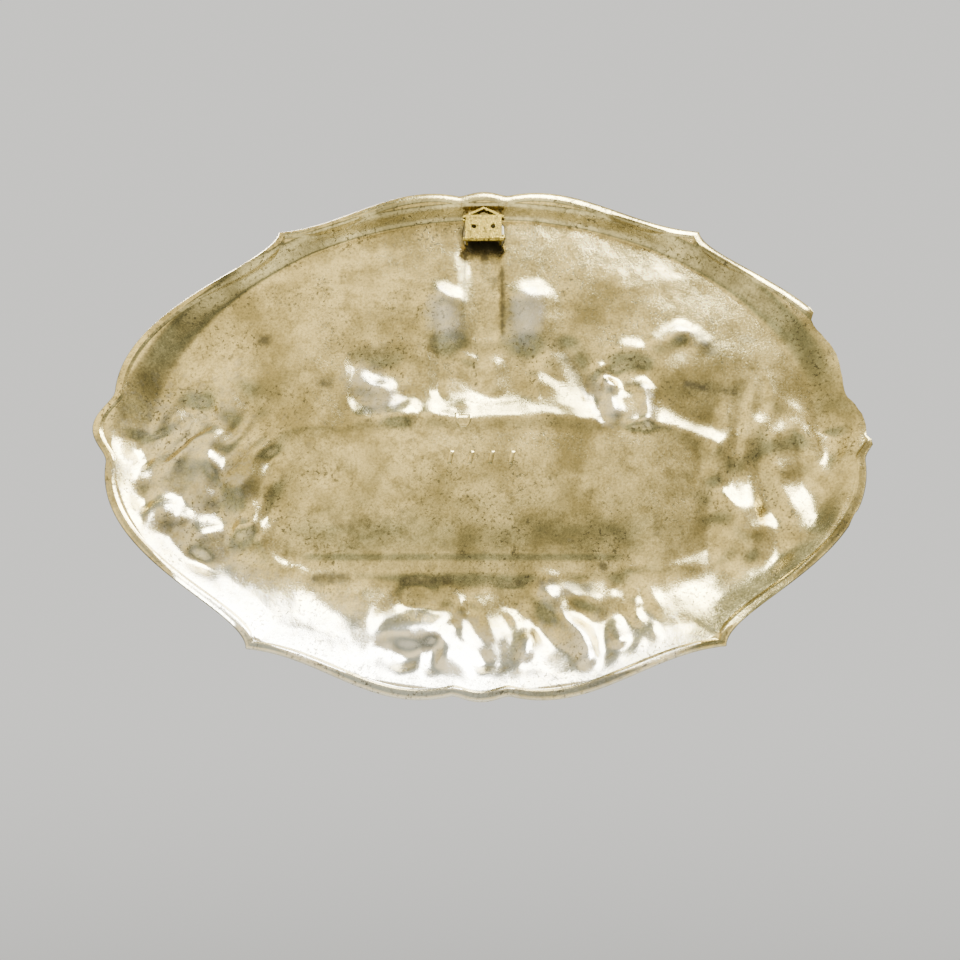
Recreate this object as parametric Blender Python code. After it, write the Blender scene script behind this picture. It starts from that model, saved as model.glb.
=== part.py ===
"""A cast brass wall plaque with its hanging bracket.

The plaque is one thin casting: a scalloped oval dish whose rim lies on the wall and whose
picture, a great house with a tower among trees, stands out to the front. The back is hollow
and follows the picture in a softer form. A bracket of folded sheet brass is soldered to the
back, under the top of the rim.

Lengths are millimetres and become metres as each mesh is made. x runs to the right seen from
the front, z runs up, and the wall is on the +y side. The origin is the middle of the bracket's
plate, on its outer face. Depths are counted from the plane of the rim towards the front.
"""
import math

import bmesh
import bpy
import numpy as np

MM = 0.001

# Size of the plaque, and the size of the drawing that the places below are taken from
HALF_WIDTH = 150.0
HALF_HEIGHT = 103.3
DRAWN_SIZE = (150.0, 103.3)

# The outline: notches at the crown and at the long axis, and curves between them and the cusps
CROWN_NOTCH = (10.3, 101.3)
SIDE_NOTCH = (143.1, 14.4)
SHOULDER_PULL = (38.3, 108.1)
CUSP_SHOULDER_PULL = (-27.6, 2.5)
CUSP_FLANK_PULL = (1.1, -14.3)
FLANK_PULL = (144.3, 51.9)

# Cusps, clockwise from the right top seen from the front, and how much fuller each flank is
CUSPS = ((83.7, 84.8), (83.9, 85.0), (86.6, 83.6), (87.4, 83.6))
FULLER = (0.0, 0.0, 0.0, 2.8)

# The cast wall, the lip that lies on the wall, and the step and shelf inside the lip
CAST_WALL = 2.0
THINNEST_WALL = 1.5
CRISPNESS = 0.5
LIP_WIDTH = 3.0
LIP_FALL = 1.1
LIP_STEP = 0.9
STEP_WIDTH = 0.9
SHELF_FALL = 1.0
SHELF_RUN = 10.0

# Ovals where the wall starts on the shelf and where it ends: short end, long end, both pulls;
# below the long axis the grid's rings keep their own oval, since the ground rises so slowly there
SHELF_ABOVE = (98.6, 142.5, 92.0, 40.0)
FOOT_ABOVE = (95.4, 134.0, 93.0, 31.6)
SHELF_BELOW = (99.2, 142.5, 92.0, 40.0)
FOOT_BELOW = (60.0, 134.0, 98.0, 14.0)
RINGS_BELOW = (92.0, 134.0, 93.0, 31.6)

# Depth of the picture's sky below the plane of the rim; the picture adds to it
SKY_DEPTH = 8.0

# The stretch of lip that is broken off, in degrees from the long axis, from behind on the right
CHIP_FROM = -3.4
CHIP_TO = 20.6
CHIP_BITE = 5.2
NICK_AT = -15.0
NICK_BITE = 0.9
NICK_REACH = 2.0

# Grid of the casting: segments of each outline stretch in a quarter, and rings
CROWN_STEPS = 3
SHOULDER_STEPS = 17
FLANK_STEPS = 13
SIDE_STEPS = 2
PICTURE_RINGS = 7
WALL_RINGS = 3
RING_APART = 0.3

# The bracket: a plate on a folded strip, shaped like a small house front
PLATE_WIDTH = 14.8
PLATE_HEIGHT = 10.8
SHEET = 0.9
PLATE_SET_IN = 2.0
ROOF_RISE = 3.9
ROOF_DEPTH = 2.4
EAVES_OVERHANG = 1.1
HEM_RADIUS = 0.9
HEM_OVERHANG = 0.9
NAIL_HOLE = 2.1
NAIL_HOLE_SPACING = 7.9
SOLDER_GAP = 0.3
ROOF_BELOW_SHELF = 1.5
HEM_SIDES = 16

# The middle of the plate, above the long axis: the bracket's roof stays clear of the shelf
SHELF_TOP = SHELF_ABOVE[0] * HALF_HEIGHT / DRAWN_SIZE[1]
MOUNT_HEIGHT = SHELF_TOP - (ROOF_BELOW_SHELF + ROOF_RISE + PLATE_HEIGHT / 2)


def ramp(value, low, high):
    """0 below low and 1 above high, with an even S between them."""
    share = np.clip((value - low) / (high - low), 0.0, 1.0)
    return share * share * (3.0 - 2.0 * share)


def cubic(start, pull_a, pull_b, end, steps):
    """Points along a curve from start to end, drawn towards the two pulls."""
    t = np.linspace(0.0, 1.0, steps + 1)[:, None]
    s = 1.0 - t
    corners = [np.array(point) for point in (start, pull_a, pull_b, end)]
    return s**3 * corners[0] + 3 * s * s * t * corners[1] + 3 * s * t * t * corners[2] + t**3 * corners[3]


def quarter(cusp, fuller):
    """The outline from the middle of the top to the middle of the right side."""
    side = (DRAWN_SIZE[0], 0.0)
    crown = (0.0, DRAWN_SIZE[1])
    cusp = np.array(cusp)
    flank_pull = np.add(FLANK_PULL, fuller)
    stretches = (
        cubic(crown, (CROWN_NOTCH[0] * 0.45, crown[1]), (CROWN_NOTCH[0] * 0.75, CROWN_NOTCH[1]),
              CROWN_NOTCH, CROWN_STEPS),
        cubic(CROWN_NOTCH, SHOULDER_PULL, cusp + CUSP_SHOULDER_PULL, cusp, SHOULDER_STEPS),
        cubic(cusp, cusp + CUSP_FLANK_PULL, flank_pull, SIDE_NOTCH, FLANK_STEPS),
        cubic(SIDE_NOTCH, (SIDE_NOTCH[0], SIDE_NOTCH[1] * 0.75), (side[0], SIDE_NOTCH[1] * 0.45),
              side, SIDE_STEPS),
    )
    return np.vstack([stretch[:-1] for stretch in stretches] + [[side]])


def outline():
    """The whole outline as a closed run of points, clockwise seen from the front, from the top."""
    right_top, right_foot, left_foot, left_top = (quarter(*corner) for corner in zip(CUSPS, FULLER))
    parts = (right_top, right_foot[::-1] * (1, -1), left_foot * (-1, -1), left_top[::-1] * (-1, 1))
    return np.vstack([part[:-1] for part in parts])


def broken_off(points):
    """How much of the lip is missing at each outline point: the long chip and the small nick."""
    angle = np.degrees(np.arctan2(points[:, 1], -points[:, 0]))
    chip = ramp(angle, CHIP_FROM, CHIP_FROM + 2.0) * (1.0 - ramp(angle, CHIP_TO - 2.5, CHIP_TO))
    nick = np.clip(1.0 - np.abs(angle - NICK_AT) / NICK_REACH, 0.0, 1.0)
    ragged = 0.93 + 0.06 * np.sin(angle * 0.8 + 1.0)
    return CHIP_BITE * chip * ragged + NICK_BITE * nick


def oval(x, z, above, below):
    """Distance from the centre to an oval of one shape above the long axis and another below."""
    bearing = np.arctan2(np.abs(z), np.abs(x))
    found = []
    for short_end, long_end, pull_across, pull_up in (above, below):
        points = cubic((0.0, short_end), (pull_across, short_end), (long_end, pull_up), (long_end, 0.0), 64)
        angle = np.arctan2(points[:, 1], points[:, 0])
        found.append(np.interp(bearing, angle[::-1], np.hypot(*points.T)[::-1]))
    return np.where(z >= 0.0, *found)


def wall_share(x, z):
    """Share of the picture's depth: an S curve above the long axis, an even slope below it."""
    away = np.hypot(x, z)
    shelf, foot = oval(x, z, SHELF_ABOVE, SHELF_BELOW), oval(x, z, FOOT_ABOVE, FOOT_BELOW)
    share = np.clip((shelf - away) / (shelf - foot), 0.0, 1.0)
    low = ramp(-z / np.maximum(away, 1e-6), -0.05, 0.45)
    even = np.minimum(share * (1.35 - 0.35 * share), 1.0)
    return ramp(share, 0.0, 1.0) * (1.0 - low) + even * low


def inset_of(x, z):
    """How far a point lies inside the unbroken outline, along the line to the centre."""
    rim = outline()
    angle = np.arctan2(rim[:, 1], rim[:, 0])
    order = np.argsort(angle)
    radius = np.interp(np.arctan2(z, x), angle[order], np.hypot(*rim[order].T), period=2.0 * math.pi)
    return radius - np.hypot(x, z)


def lip_depth(inside):
    """Depth of lip and shelf: the lip falls away outwards, with a step and a shelf inside it."""
    fall = LIP_FALL * (1.0 - ramp(inside, -0.6 * LIP_WIDTH, LIP_WIDTH))
    step = LIP_STEP * ramp(inside, LIP_WIDTH, LIP_WIDTH + STEP_WIDTH)
    return fall + step + SHELF_FALL * np.clip((inside - LIP_WIDTH) / SHELF_RUN, 0.0, 1.0)


def block(x, z, left, right, foot, top, at_foot, at_top, soft, slant, softness):
    """A part of the building whose height runs evenly from foot to top; slant tips it sideways."""
    left_soft, right_soft, foot_soft, top_soft = (0.5 * softness * width for width in soft)
    level_z = z - slant * (x - 0.5 * (left + right))
    level = at_foot + (at_top - at_foot) * np.clip((level_z - foot) / (top - foot), 0.0, 1.0)
    wide = ramp(x, left - left_soft, left + left_soft)
    wide = wide * (1.0 - ramp(x, right - right_soft, right + right_soft))
    tall = ramp(level_z, foot - foot_soft, foot + foot_soft)
    return level * wide * tall * (1.0 - ramp(level_z, top - top_soft, top + top_soft))


def limb(x, z, start, end, radius, rise):
    """A rounded fold from start to end, such as a bough: a swelling, or a hollow if rise is negative."""
    run = np.subtract(end, start)
    share = np.clip(((x - start[0]) * run[0] + (z - start[1]) * run[1]) / (run @ run), 0.0, 1.0)
    away = np.hypot(x - start[0] - share * run[0], z - start[1] - share * run[1]) / radius
    return rise * np.clip(1.0 - away * away, 0.0, 1.0) ** 1.5


# Parts of the house: left, right, foot, top, height at foot and top, softness of each edge, slant
HOUSE = (
    ("tower", -7.0, 7.0, 40.0, 85.0, 1.6, 1.5, (2.4, 3.0, 8.0, 9.0), 0.0),
    ("keep", -24.0, 20.5, 13.5, 57.0, 3.6, 0.7, (12.0, 5.5, 13.0, 6.0), 0.0),
    ("hall", -43.0, -20.0, 13.0, 34.0, 3.4, 0.6, (7.0, 7.0, 12.0, 12.0), 0.0),
    ("upper_storey", -64.0, 54.0, 11.0, 34.0, 2.4, 0.2, (8.0, 8.0, 12.0, 12.0), 0.0),
    ("left_pavilion", -68.0, -45.0, 4.0, 28.0, 1.6, 2.6, (6.0, 5.0, 6.0, 8.0), 0.0),
    ("right_pavilion", 30.0, 53.5, 3.0, 31.0, -0.6, 2.6, (9.0, 4.5, 5.0, 16.0), 0.0),
    ("left_roof", -98.0, -62.0, 2.0, 24.0, 3.8, 0.2, (8.0, 8.0, 9.0, 16.0), 0.25),
    ("right_roof", 52.0, 104.0, 4.0, 26.0, 3.8, 0.2, (8.0, 10.0, 10.0, 16.0), -0.05),
    ("front_wall", -90.0, 82.0, -32.0, 5.0, 2.1, 1.3, (12.0, 14.0, 6.0, 9.0), 0.0),
    ("plinth", -81.0, 77.0, -47.6, -24.0, 5.2, 1.9, (12.0, 12.0, 1.6, 12.0), 0.0),
    ("terrace", -82.0, 78.0, -63.0, -47.6, 6.8, 6.3, (12.0, 12.0, 6.0, 1.6), 0.0),
    ("meadow", -150.0, 150.0, -125.0, -60.0, 6.8, 6.8, (4.0, 4.0, 4.0, 9.0), 0.0),
)

# Folds of roofs, clouds, trees and meadow: start, end, radius, rise towards the front
FOLDS = (
    ((-40.0, 30.0), (40.0, 30.0), 34.0, 2.6),
    ((113.0, -8.0), (110.0, -34.0), 38.0, 2.4),
    ((-110.0, -8.0), (-108.0, -34.0), 38.0, 2.4),
    ((-16.0, 50.5), (-19.5, 49.5), 10.0, -4.0),
    ((-7.5, 46.0), (-9.0, 46.5), 5.0, -1.5),
    ((17.0, 53.5), (16.0, 51.5), 7.5, -3.0),
    ((11.0, 45.5), (9.0, 43.5), 4.6, -1.6),
    ((-35.0, 36.0), (-43.0, 20.0), 6.0, 1.8),
    ((-47.0, 27.0), (-50.5, 21.0), 4.6, -1.8),
    ((-50.0, 20.0), (-50.5, 9.0), 5.0, -2.4),
    ((-56.5, 15.0), (-56.5, 3.0), 3.0, -1.2),
    ((-62.5, 17.0), (-62.0, 5.0), 5.0, -2.4),
    ((-22.0, 20.5), (-35.0, 14.0), 6.5, -2.2),
    ((-5.0, 31.0), (-4.5, 22.0), 5.0, -1.0),
    ((6.0, 34.0), (3.0, 33.5), 3.0, -0.6),
    ((12.0, 19.0), (8.0, 17.0), 6.0, -0.9),
    ((48.0, 24.0), (41.0, 19.0), 7.5, -1.6),
    ((38.0, 11.0), (32.0, 10.0), 6.0, -1.4),
    ((-71.0, 38.0), (-78.0, 42.0), 5.0, -0.9),
    ((-78.0, 42.0), (-88.0, 38.0), 5.0, -0.9),
    ((-55.0, 35.0), (-62.0, 33.5), 4.6, -0.9),
    ((-66.0, 7.0), (-92.0, -3.5), 6.0, -1.8),
    ((58.0, 6.0), (97.0, 4.5), 7.0, -1.8),
    ((97.0, 25.0), (108.0, 17.0), 10.0, -1.1),
    ((117.5, 3.0), (121.0, -19.0), 6.8, -1.8),
    ((105.5, -3.0), (109.0, -24.0), 6.6, -2.0),
    ((127.5, 3.0), (128.0, -8.0), 6.0, -1.4),
    ((98.5, 2.0), (99.5, 0.0), 8.0, -1.8),
    ((96.0, -20.0), (84.0, -18.0), 6.4, -1.7),
    ((127.5, -37.0), (121.5, -33.0), 6.0, -1.4),
    ((118.5, -32.0), (112.0, -32.0), 6.4, -1.7),
    ((106.5, -39.0), (106.0, -40.0), 6.0, -1.4),
    ((99.0, -46.0), (96.0, -52.0), 6.5, -1.7),
    ((92.5, -40.0), (85.0, -46.0), 6.8, -1.9),
    ((135.5, 1.0), (135.0, -3.0), 5.4, -1.2),
    ((124.0, 3.5), (123.5, 1.0), 4.0, 1.0),
    ((101.5, -27.0), (100.0, -43.0), 6.0, 1.4),
    ((113.5, -6.0), (116.0, -20.0), 5.0, 1.1),
    ((-109.0, -0.5), (-116.0, -1.5), 7.6, -1.8),
    ((-123.5, 0.5), (-124.5, -3.0), 6.4, -1.5),
    ((-113.0, -16.0), (-115.0, -26.0), 6.8, -1.8),
    ((-115.5, -26.5), (-119.5, -31.0), 5.6, -1.4),
    ((-100.0, -25.0), (-101.5, -46.0), 7.0, -2.1),
    ((-94.0, -47.5), (-96.5, -53.0), 6.0, -1.7),
    ((-117.5, -39.0), (-122.5, -45.0), 7.0, -1.2),
    ((-105.0, 7.5), (-110.0, 7.0), 6.6, -1.1),
    ((-95.0, -9.0), (-96.5, -21.0), 6.0, 1.4),
    ((-107.0, -14.0), (-108.5, -32.0), 5.4, 1.4),
    ((-127.0, -10.0), (-124.5, -32.0), 7.5, 1.1),
    ((-86.5, -39.0), (-87.5, -50.0), 6.4, 1.1),
    ((-85.0, -56.0), (-88.0, -64.0), 7.0, 1.0),
    ((37.0, -67.5), (27.0, -59.5), 7.0, -2.5),
    ((21.0, -65.5), (14.0, -70.5), 6.0, -2.1),
    ((13.5, -71.0), (11.5, -79.0), 6.2, -2.1),
    ((32.0, -77.0), (19.0, -78.0), 6.0, -2.5),
    ((20.0, -85.0), (19.5, -90.0), 5.4, -1.7),
    ((38.0, -82.5), (32.0, -87.5), 5.4, -1.6),
    ((32.0, -87.5), (24.0, -89.0), 5.0, -1.4),
    ((5.5, -67.0), (4.5, -76.0), 5.6, -1.9),
    ((1.0, -80.0), (0.0, -88.0), 6.0, -2.0),
    ((-12.0, -61.0), (-16.0, -66.0), 10.0, -2.4),
    ((-20.0, -71.0), (-23.0, -82.0), 9.5, -3.0),
    ((-8.0, -84.0), (-8.0, -89.0), 5.4, -1.3),
    ((-37.0, -79.5), (-38.0, -86.0), 7.0, -2.5),
    ((-38.0, -65.5), (-56.0, -62.0), 9.0, -2.6),
    ((-48.0, -73.0), (-49.0, -79.0), 5.6, -1.8),
    ((-58.0, -67.0), (-59.0, -73.0), 5.6, -1.6),
    ((62.0, -63.0), (50.0, -63.5), 8.5, -2.2),
)


def side_depth(x, z, softness, lip_clear):
    """Depth of one side: lip and shelf, then the wall, then the picture; 1 is the softest."""
    inside, wall = inset_of(x, z), wall_share(x, z)
    lip = lip_depth(inside + lip_clear)
    built = SKY_DEPTH + np.maximum.reduce([block(x, z, *part, softness) for _, *part in HOUSE])
    folds = sum(limb(x, z, *fold) for fold in FOLDS)
    return lip + (built - lip) * wall + folds * ramp(inside, LIP_WIDTH + 1.0, LIP_WIDTH + 9.0)


def back_depth(x, z):
    """Depth of the hollow side."""
    return side_depth(x, z, 1.0, 0.0)


def front_depth(x, z):
    """Depth of the picture side: the same forms, crisper, a wall's thickness further out."""
    edge = (CAST_WALL - THINNEST_WALL) * (1.0 - ramp(inset_of(x, z), 0.0, LIP_WIDTH))
    crisp = side_depth(x, z, CRISPNESS, CAST_WALL) + CAST_WALL - edge
    return np.maximum(crisp, back_depth(x, z) + THINNEST_WALL)


def lines(first, *stops):
    """Positions from the first one on; each stop is a place and the segments that lead to it."""
    places = [np.array([first])]
    for place, segments in stops:
        places.append(np.linspace(places[-1][-1], place, segments + 1)[1:])
    return np.concatenate(places)


def core_grid():
    """Points on the straight lines of the house, which the middle of the picture follows."""
    across = lines(-73.0, (-68.0, 2), (-45.0, 6), (-26.0, 5), (-7.0, 5), (7.0, 4), (23.0, 4),
                   (31.0, 2), (54.0, 6), (72.0, 6))
    up = lines(-60.0, (-48.4, 3), (-46.8, 1), (-30.0, 3), (2.0, 6), (12.0, 3), (24.0, 3),
               (42.0, 4), (50.0, 2), (60.0, 3), (64.0, 2))
    return np.stack(np.meshgrid(across, up, indexing="ij"), axis=-1)


def around(grid):
    """The edge of a grid as a closed run, clockwise from the middle of the top."""
    half = len(grid) // 2
    left_top = [column[-1] for column in grid[:half]]
    top_right = [column[-1] for column in grid[half:]]
    foot = [column[0] for column in grid[::-1]]
    return top_right + list(grid[-1][-2:0:-1]) + foot + list(grid[0][1:-1]) + left_top


def rings(edge):
    """Rings from the core's edge to the foot of the wall, the shelf, the lip and the outline."""
    rim = outline()
    radius = np.linalg.norm(rim, axis=1)
    shelf = oval(rim[:, 0], rim[:, 1], SHELF_ABOVE, SHELF_BELOW)
    middle = oval(rim[:, 0], rim[:, 1], FOOT_ABOVE, RINGS_BELOW)
    middle_ring = rim * (middle / radius)[:, None]
    found = [edge + (middle_ring - edge) * ring / PICTURE_RINGS for ring in range(1, PICTURE_RINGS + 1)]
    insets = [radius - middle + (middle - shelf) * ring / WALL_RINGS for ring in range(1, WALL_RINGS + 1)]
    insets += [inset + 0.0 * radius for inset in (LIP_WIDTH + STEP_WIDTH, LIP_WIDTH, 0.0)]
    kept = [np.maximum(insets[-1], broken_off(rim))]
    for inset in insets[-2::-1]:
        kept.append(np.maximum(inset, kept[-1] + RING_APART))
    return found + [rim * (1.0 - inset / radius)[:, None] for inset in reversed(kept)]


def side_mesh(bm, depth_at):
    """One side of the casting; gives its outermost ring of vertices."""
    grid = core_grid()

    def corners(points):
        x, z = points[:, 0], points[:, 1]
        across = x * HALF_WIDTH / DRAWN_SIZE[0]
        up = z * HALF_HEIGHT / DRAWN_SIZE[1] - MOUNT_HEIGHT
        places = np.stack([across, PLATE_SET_IN - depth_at(x, z), up], axis=1) * MM
        return [bm.verts.new(place) for place in places]

    core = [corners(column) for column in grid]
    loops = [around(core)] + [corners(ring) for ring in rings(np.array(around(grid)))]
    for left, right in zip(core, core[1:]):
        for quad in zip(left, right, right[1:], left[1:]):
            bm.faces.new(quad)
    for inner, outer in zip(loops, loops[1:]):
        for quad in zip(inner, outer, outer[1:] + outer[:1], inner[1:] + inner[:1]):
            bm.faces.new(quad)
    return loops[-1]


def finish_mesh(bm, name, material):
    """Turn a bmesh into an object with its material."""
    mesh = bpy.data.meshes.new(name)
    bm.to_mesh(mesh)
    bm.free()
    mesh.materials.append(material)
    thing = bpy.data.objects.new(name, mesh)
    bpy.context.collection.objects.link(thing)
    return thing


def brass(name, colour, roughness):
    """A metallic material of one colour."""
    material = bpy.data.materials.new(name)
    material.use_nodes = True
    shader = material.node_tree.nodes["Principled BSDF"]
    shader.inputs["Base Color"].default_value = (*colour, 1.0)
    shader.inputs["Metallic"].default_value = 1.0
    shader.inputs["Roughness"].default_value = roughness
    return material


def build_plaque(material):
    """The casting: its hollow back, its picture side and the broken edge that joins them."""
    bm = bmesh.new()
    back = side_mesh(bm, back_depth)
    front = side_mesh(bm, front_depth)
    for quad in zip(back, front, front[1:] + front[:1], back[1:] + back[:1]):
        bm.faces.new(quad)
    bmesh.ops.recalc_face_normals(bm, faces=bm.faces)
    plaque = finish_mesh(bm, "cast_plaque", material)
    plaque.data.shade_smooth()
    plaque.data.set_sharp_from_angle(angle=math.radians(35.0))
    return plaque


def prism(name, points, near, far, material):
    """A flat shape in x and z, carried along y from near to far."""
    bm = bmesh.new()
    face = bm.faces.new([bm.verts.new((x * MM, near * MM, z * MM)) for x, z in points])
    bm.normal_update()
    moved = bmesh.ops.extrude_face_region(bm, geom=[face])["geom"]
    corners = [item for item in moved if isinstance(item, bmesh.types.BMVert)]
    bmesh.ops.translate(bm, verts=corners, vec=(0.0, (far - near) * MM, 0.0))
    bmesh.ops.recalc_face_normals(bm, faces=bm.faces)
    return finish_mesh(bm, name, material)


def rod(name, radius, length, place, turn, material):
    """A round rod, its middle at place, lying along the axis that turn gives."""
    bpy.ops.mesh.primitive_cylinder_add(vertices=HEM_SIDES, radius=radius * MM, depth=length * MM,
                                        location=[value * MM for value in place], rotation=turn)
    thing = bpy.context.active_object
    thing.name = name
    thing.data.materials.append(material)
    return thing


def combine(base, helper, operation):
    """Join a helper to the base or cut it out, and keep the helper as a hidden wire."""
    change = base.modifiers.new(helper.name, "BOOLEAN")
    change.operation = operation
    change.solver = "EXACT"
    change.object = helper
    helper.hide_render = True
    helper.display_type = "WIRE"


def build_bracket(material):
    """The bracket: a plate with two nail holes, side legs, a small gable and a rolled foot."""
    half = PLATE_WIDTH / 2
    top = PLATE_HEIGHT / 2
    leg_end = PLATE_SET_IN - SKY_DEPTH + SOLDER_GAP
    face = ((-half, -top), (half, -top), (half, top), (-half, top))
    plate = prism("hanger_bracket", face, 0.0, -SHEET, material)
    for side, word in ((-1, "left"), (1, "right")):
        inner = side * (half - SHEET)
        leg = prism(f"{word}_leg", ((inner, -top), (side * half, -top), (side * half, top), (inner, top)),
                    -SHEET / 2, leg_end, material)
        combine(plate, leg, "UNION")
    eave = half + EAVES_OVERHANG
    slope = (eave, -ROOF_RISE - SHEET / 2)
    thickness = SHEET * math.hypot(*slope) / eave
    low = top - SHEET / 2
    gable = ((-eave, low), (0.0, top + ROOF_RISE), (eave, low), (eave, low - thickness),
             (0.0, top + ROOF_RISE - thickness), (-eave, low - thickness))
    combine(plate, prism("gable", gable, 0.0, -ROOF_DEPTH, material), "UNION")
    hem_place = (0.0, -HEM_RADIUS, -top)
    hem_length = PLATE_WIDTH + 2 * HEM_OVERHANG
    combine(plate, rod("hem", HEM_RADIUS, hem_length, hem_place, (0.0, math.pi / 2, 0.0), material), "UNION")
    for side, word in ((-1, "left"), (1, "right")):
        place = (side * NAIL_HOLE_SPACING / 2, -SHEET / 2, 0.0)
        hole = rod(f"{word}_nail_hole", NAIL_HOLE / 2, 3 * SHEET, place, (math.pi / 2, 0.0, 0.0), material)
        combine(plate, hole, "DIFFERENCE")
    return plate


def main():
    """Clear the scene and build the two pieces."""
    for thing in list(bpy.data.objects):
        bpy.data.objects.remove(thing)
    build_plaque(brass("cast_brass", (0.42, 0.36, 0.22), 0.38))
    build_bracket(brass("sheet_brass", (0.72, 0.60, 0.33), 0.3))


main()
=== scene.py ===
"""Looks of a cast brass wall plaque, seen from its hollow back.

The plaque is one thin casting with a scalloped rim that lies on the wall, a picture of a great
house among trees on its front, and on its back the same picture, hollow and blurred. A bracket of
folded sheet brass is soldered under the top of the rim. x runs to the right seen from the front,
z up, +y towards the wall. Sizes are millimetres until a mesh is made.
"""

import logging
import math
from dataclasses import dataclass, field
from enum import Enum
from typing import Callable, Sequence

import bpy
import numpy as np
from mathutils import Matrix, Vector


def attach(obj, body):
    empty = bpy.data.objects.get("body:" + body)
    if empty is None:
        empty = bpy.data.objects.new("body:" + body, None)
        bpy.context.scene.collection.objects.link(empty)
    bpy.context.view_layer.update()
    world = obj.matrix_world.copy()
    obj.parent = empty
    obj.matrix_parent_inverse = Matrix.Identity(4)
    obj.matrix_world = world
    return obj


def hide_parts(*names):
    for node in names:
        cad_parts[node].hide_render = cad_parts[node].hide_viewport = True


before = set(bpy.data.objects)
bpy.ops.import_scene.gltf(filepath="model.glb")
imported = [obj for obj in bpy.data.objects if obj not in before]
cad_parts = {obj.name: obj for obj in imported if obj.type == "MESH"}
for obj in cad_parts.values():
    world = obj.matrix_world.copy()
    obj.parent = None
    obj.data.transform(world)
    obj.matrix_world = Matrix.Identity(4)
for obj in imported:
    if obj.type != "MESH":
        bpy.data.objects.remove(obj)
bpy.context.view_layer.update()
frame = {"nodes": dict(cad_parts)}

LOG = logging.getLogger("plaque")
MM = 0.001
Array = np.ndarray
Point = tuple[float, float]
Tree = bpy.types.NodeTree
Socket = bpy.types.NodeSocket


def ramp(value: Array, low: Array | float, high: Array | float) -> Array:
    """An even S curve: 0 below low, 1 above high, 3t^2 - 2t^3 between.

    Args:
        value: numbers to place on the curve.
        low: where the curve leaves 0.
        high: where it reaches 1.

    Returns:
        The curve's height at each value.
    """
    share = np.clip((value - low) / (high - low), 0.0, 1.0)
    return share * share * (3.0 - 2.0 * share)


def cubic(start: Point, pull_a: Point, pull_b: Point, end: Point, steps: int) -> Array:
    """Points along a cubic curve from start to end, drawn towards two pulls.

    Args:
        start: first point.
        pull_a: pull on the start's side.
        pull_b: pull on the end's side.
        end: last point.
        steps: number of segments.

    Returns:
        steps + 1 points, one row each.
    """
    t = np.linspace(0.0, 1.0, steps + 1)[:, None]
    s = 1.0 - t
    a, b, c, d = (np.array(point) for point in (start, pull_a, pull_b, end))
    return s**3 * a + 3 * s * s * t * b + 3 * s * t * t * c + t**3 * d


def cast_grain(x: Array, z: Array, size: float, seed: int) -> Array:
    """Smooth random height: random numbers on a square lattice, joined by S curves.

    Args:
        x: places across, in millimetres.
        z: places up, in millimetres.
        size: lattice spacing in millimetres.
        seed: which lattice to use.

    Returns:
        Heights from -1 to 1, changing over about size millimetres.
    """
    table = np.random.default_rng(seed).uniform(-1.0, 1.0, (97, 89))
    column, row = x / size + 997.3, z / size + 991.7
    i, j = np.floor(column).astype(int), np.floor(row).astype(int)
    a, b = ramp(column - i, 0.0, 1.0), ramp(row - j, 0.0, 1.0)
    corner = [table[(i + di) % 97, (j + dj) % 89] for di in (0, 1) for dj in (0, 1)]
    low = corner[0] * (1 - b) + corner[1] * b
    high = corner[2] * (1 - b) + corner[3] * b
    return low * (1 - a) + high * a


@dataclass(frozen=True)
class Block:
    """A part of the building whose height runs evenly from foot to top; slant tips it sideways."""

    name: str
    left: float
    right: float
    foot: float
    top: float
    at_foot: float
    at_top: float
    soft: tuple[float, float, float, float] = (4.0, 4.0, 4.0, 4.0)
    slant: float = 0.0

    def height(self, x: Array, z: Array, softness: float) -> Array:
        """Height over the sky: the even slope, faded out across each edge by an S curve.

        Args:
            x: places across.
            z: places up.
            softness: 1 for the blurred back, less for the crisp front.

        Returns:
            The block's height at each place, 0 outside it.
        """
        left, right, foot, top = (0.5 * softness * width for width in self.soft)
        level_z = z - self.slant * (x - 0.5 * (self.left + self.right))
        share = np.clip((level_z - self.foot) / (self.top - self.foot), 0.0, 1.0)
        wide = ramp(x, self.left - left, self.left + left)
        wide = wide * (1.0 - ramp(x, self.right - right, self.right + right))
        tall = ramp(level_z, self.foot - foot, self.foot + foot)
        tall = tall * (1.0 - ramp(level_z, self.top - top, self.top + top))
        return (self.at_foot + (self.at_top - self.at_foot) * share) * wide * tall


@dataclass(frozen=True)
class Limb:
    """A rounded ridge between two points, such as a bough, a bank or a fold of ground."""

    start: Point
    end: Point
    radius: float
    rise: float
    spread: float = 1.32

    def height(self, x: Array, z: Array) -> Array:
        """Height of a round-topped ridge that runs out gently.

        With a the distance from the middle line, as a share of spread times radius, the height is
        rise times (1 - a^2)^2.6.

        Args:
            x: places across.
            z: places up.

        Returns:
            The ridge's height at each place, 0 outside it.
        """
        run = np.subtract(self.end, self.start)
        share = ((x - self.start[0]) * run[0] + (z - self.start[1]) * run[1]) / max(float(run @ run), 1e-9)
        share = np.clip(share, 0.0, 1.0)
        away = np.hypot(x - self.start[0] - share * run[0], z - self.start[1] - share * run[1])
        return self.rise * np.clip(1.0 - (away / (self.spread * self.radius)) ** 2, 0.0, 1.0) ** 2.6


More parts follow.
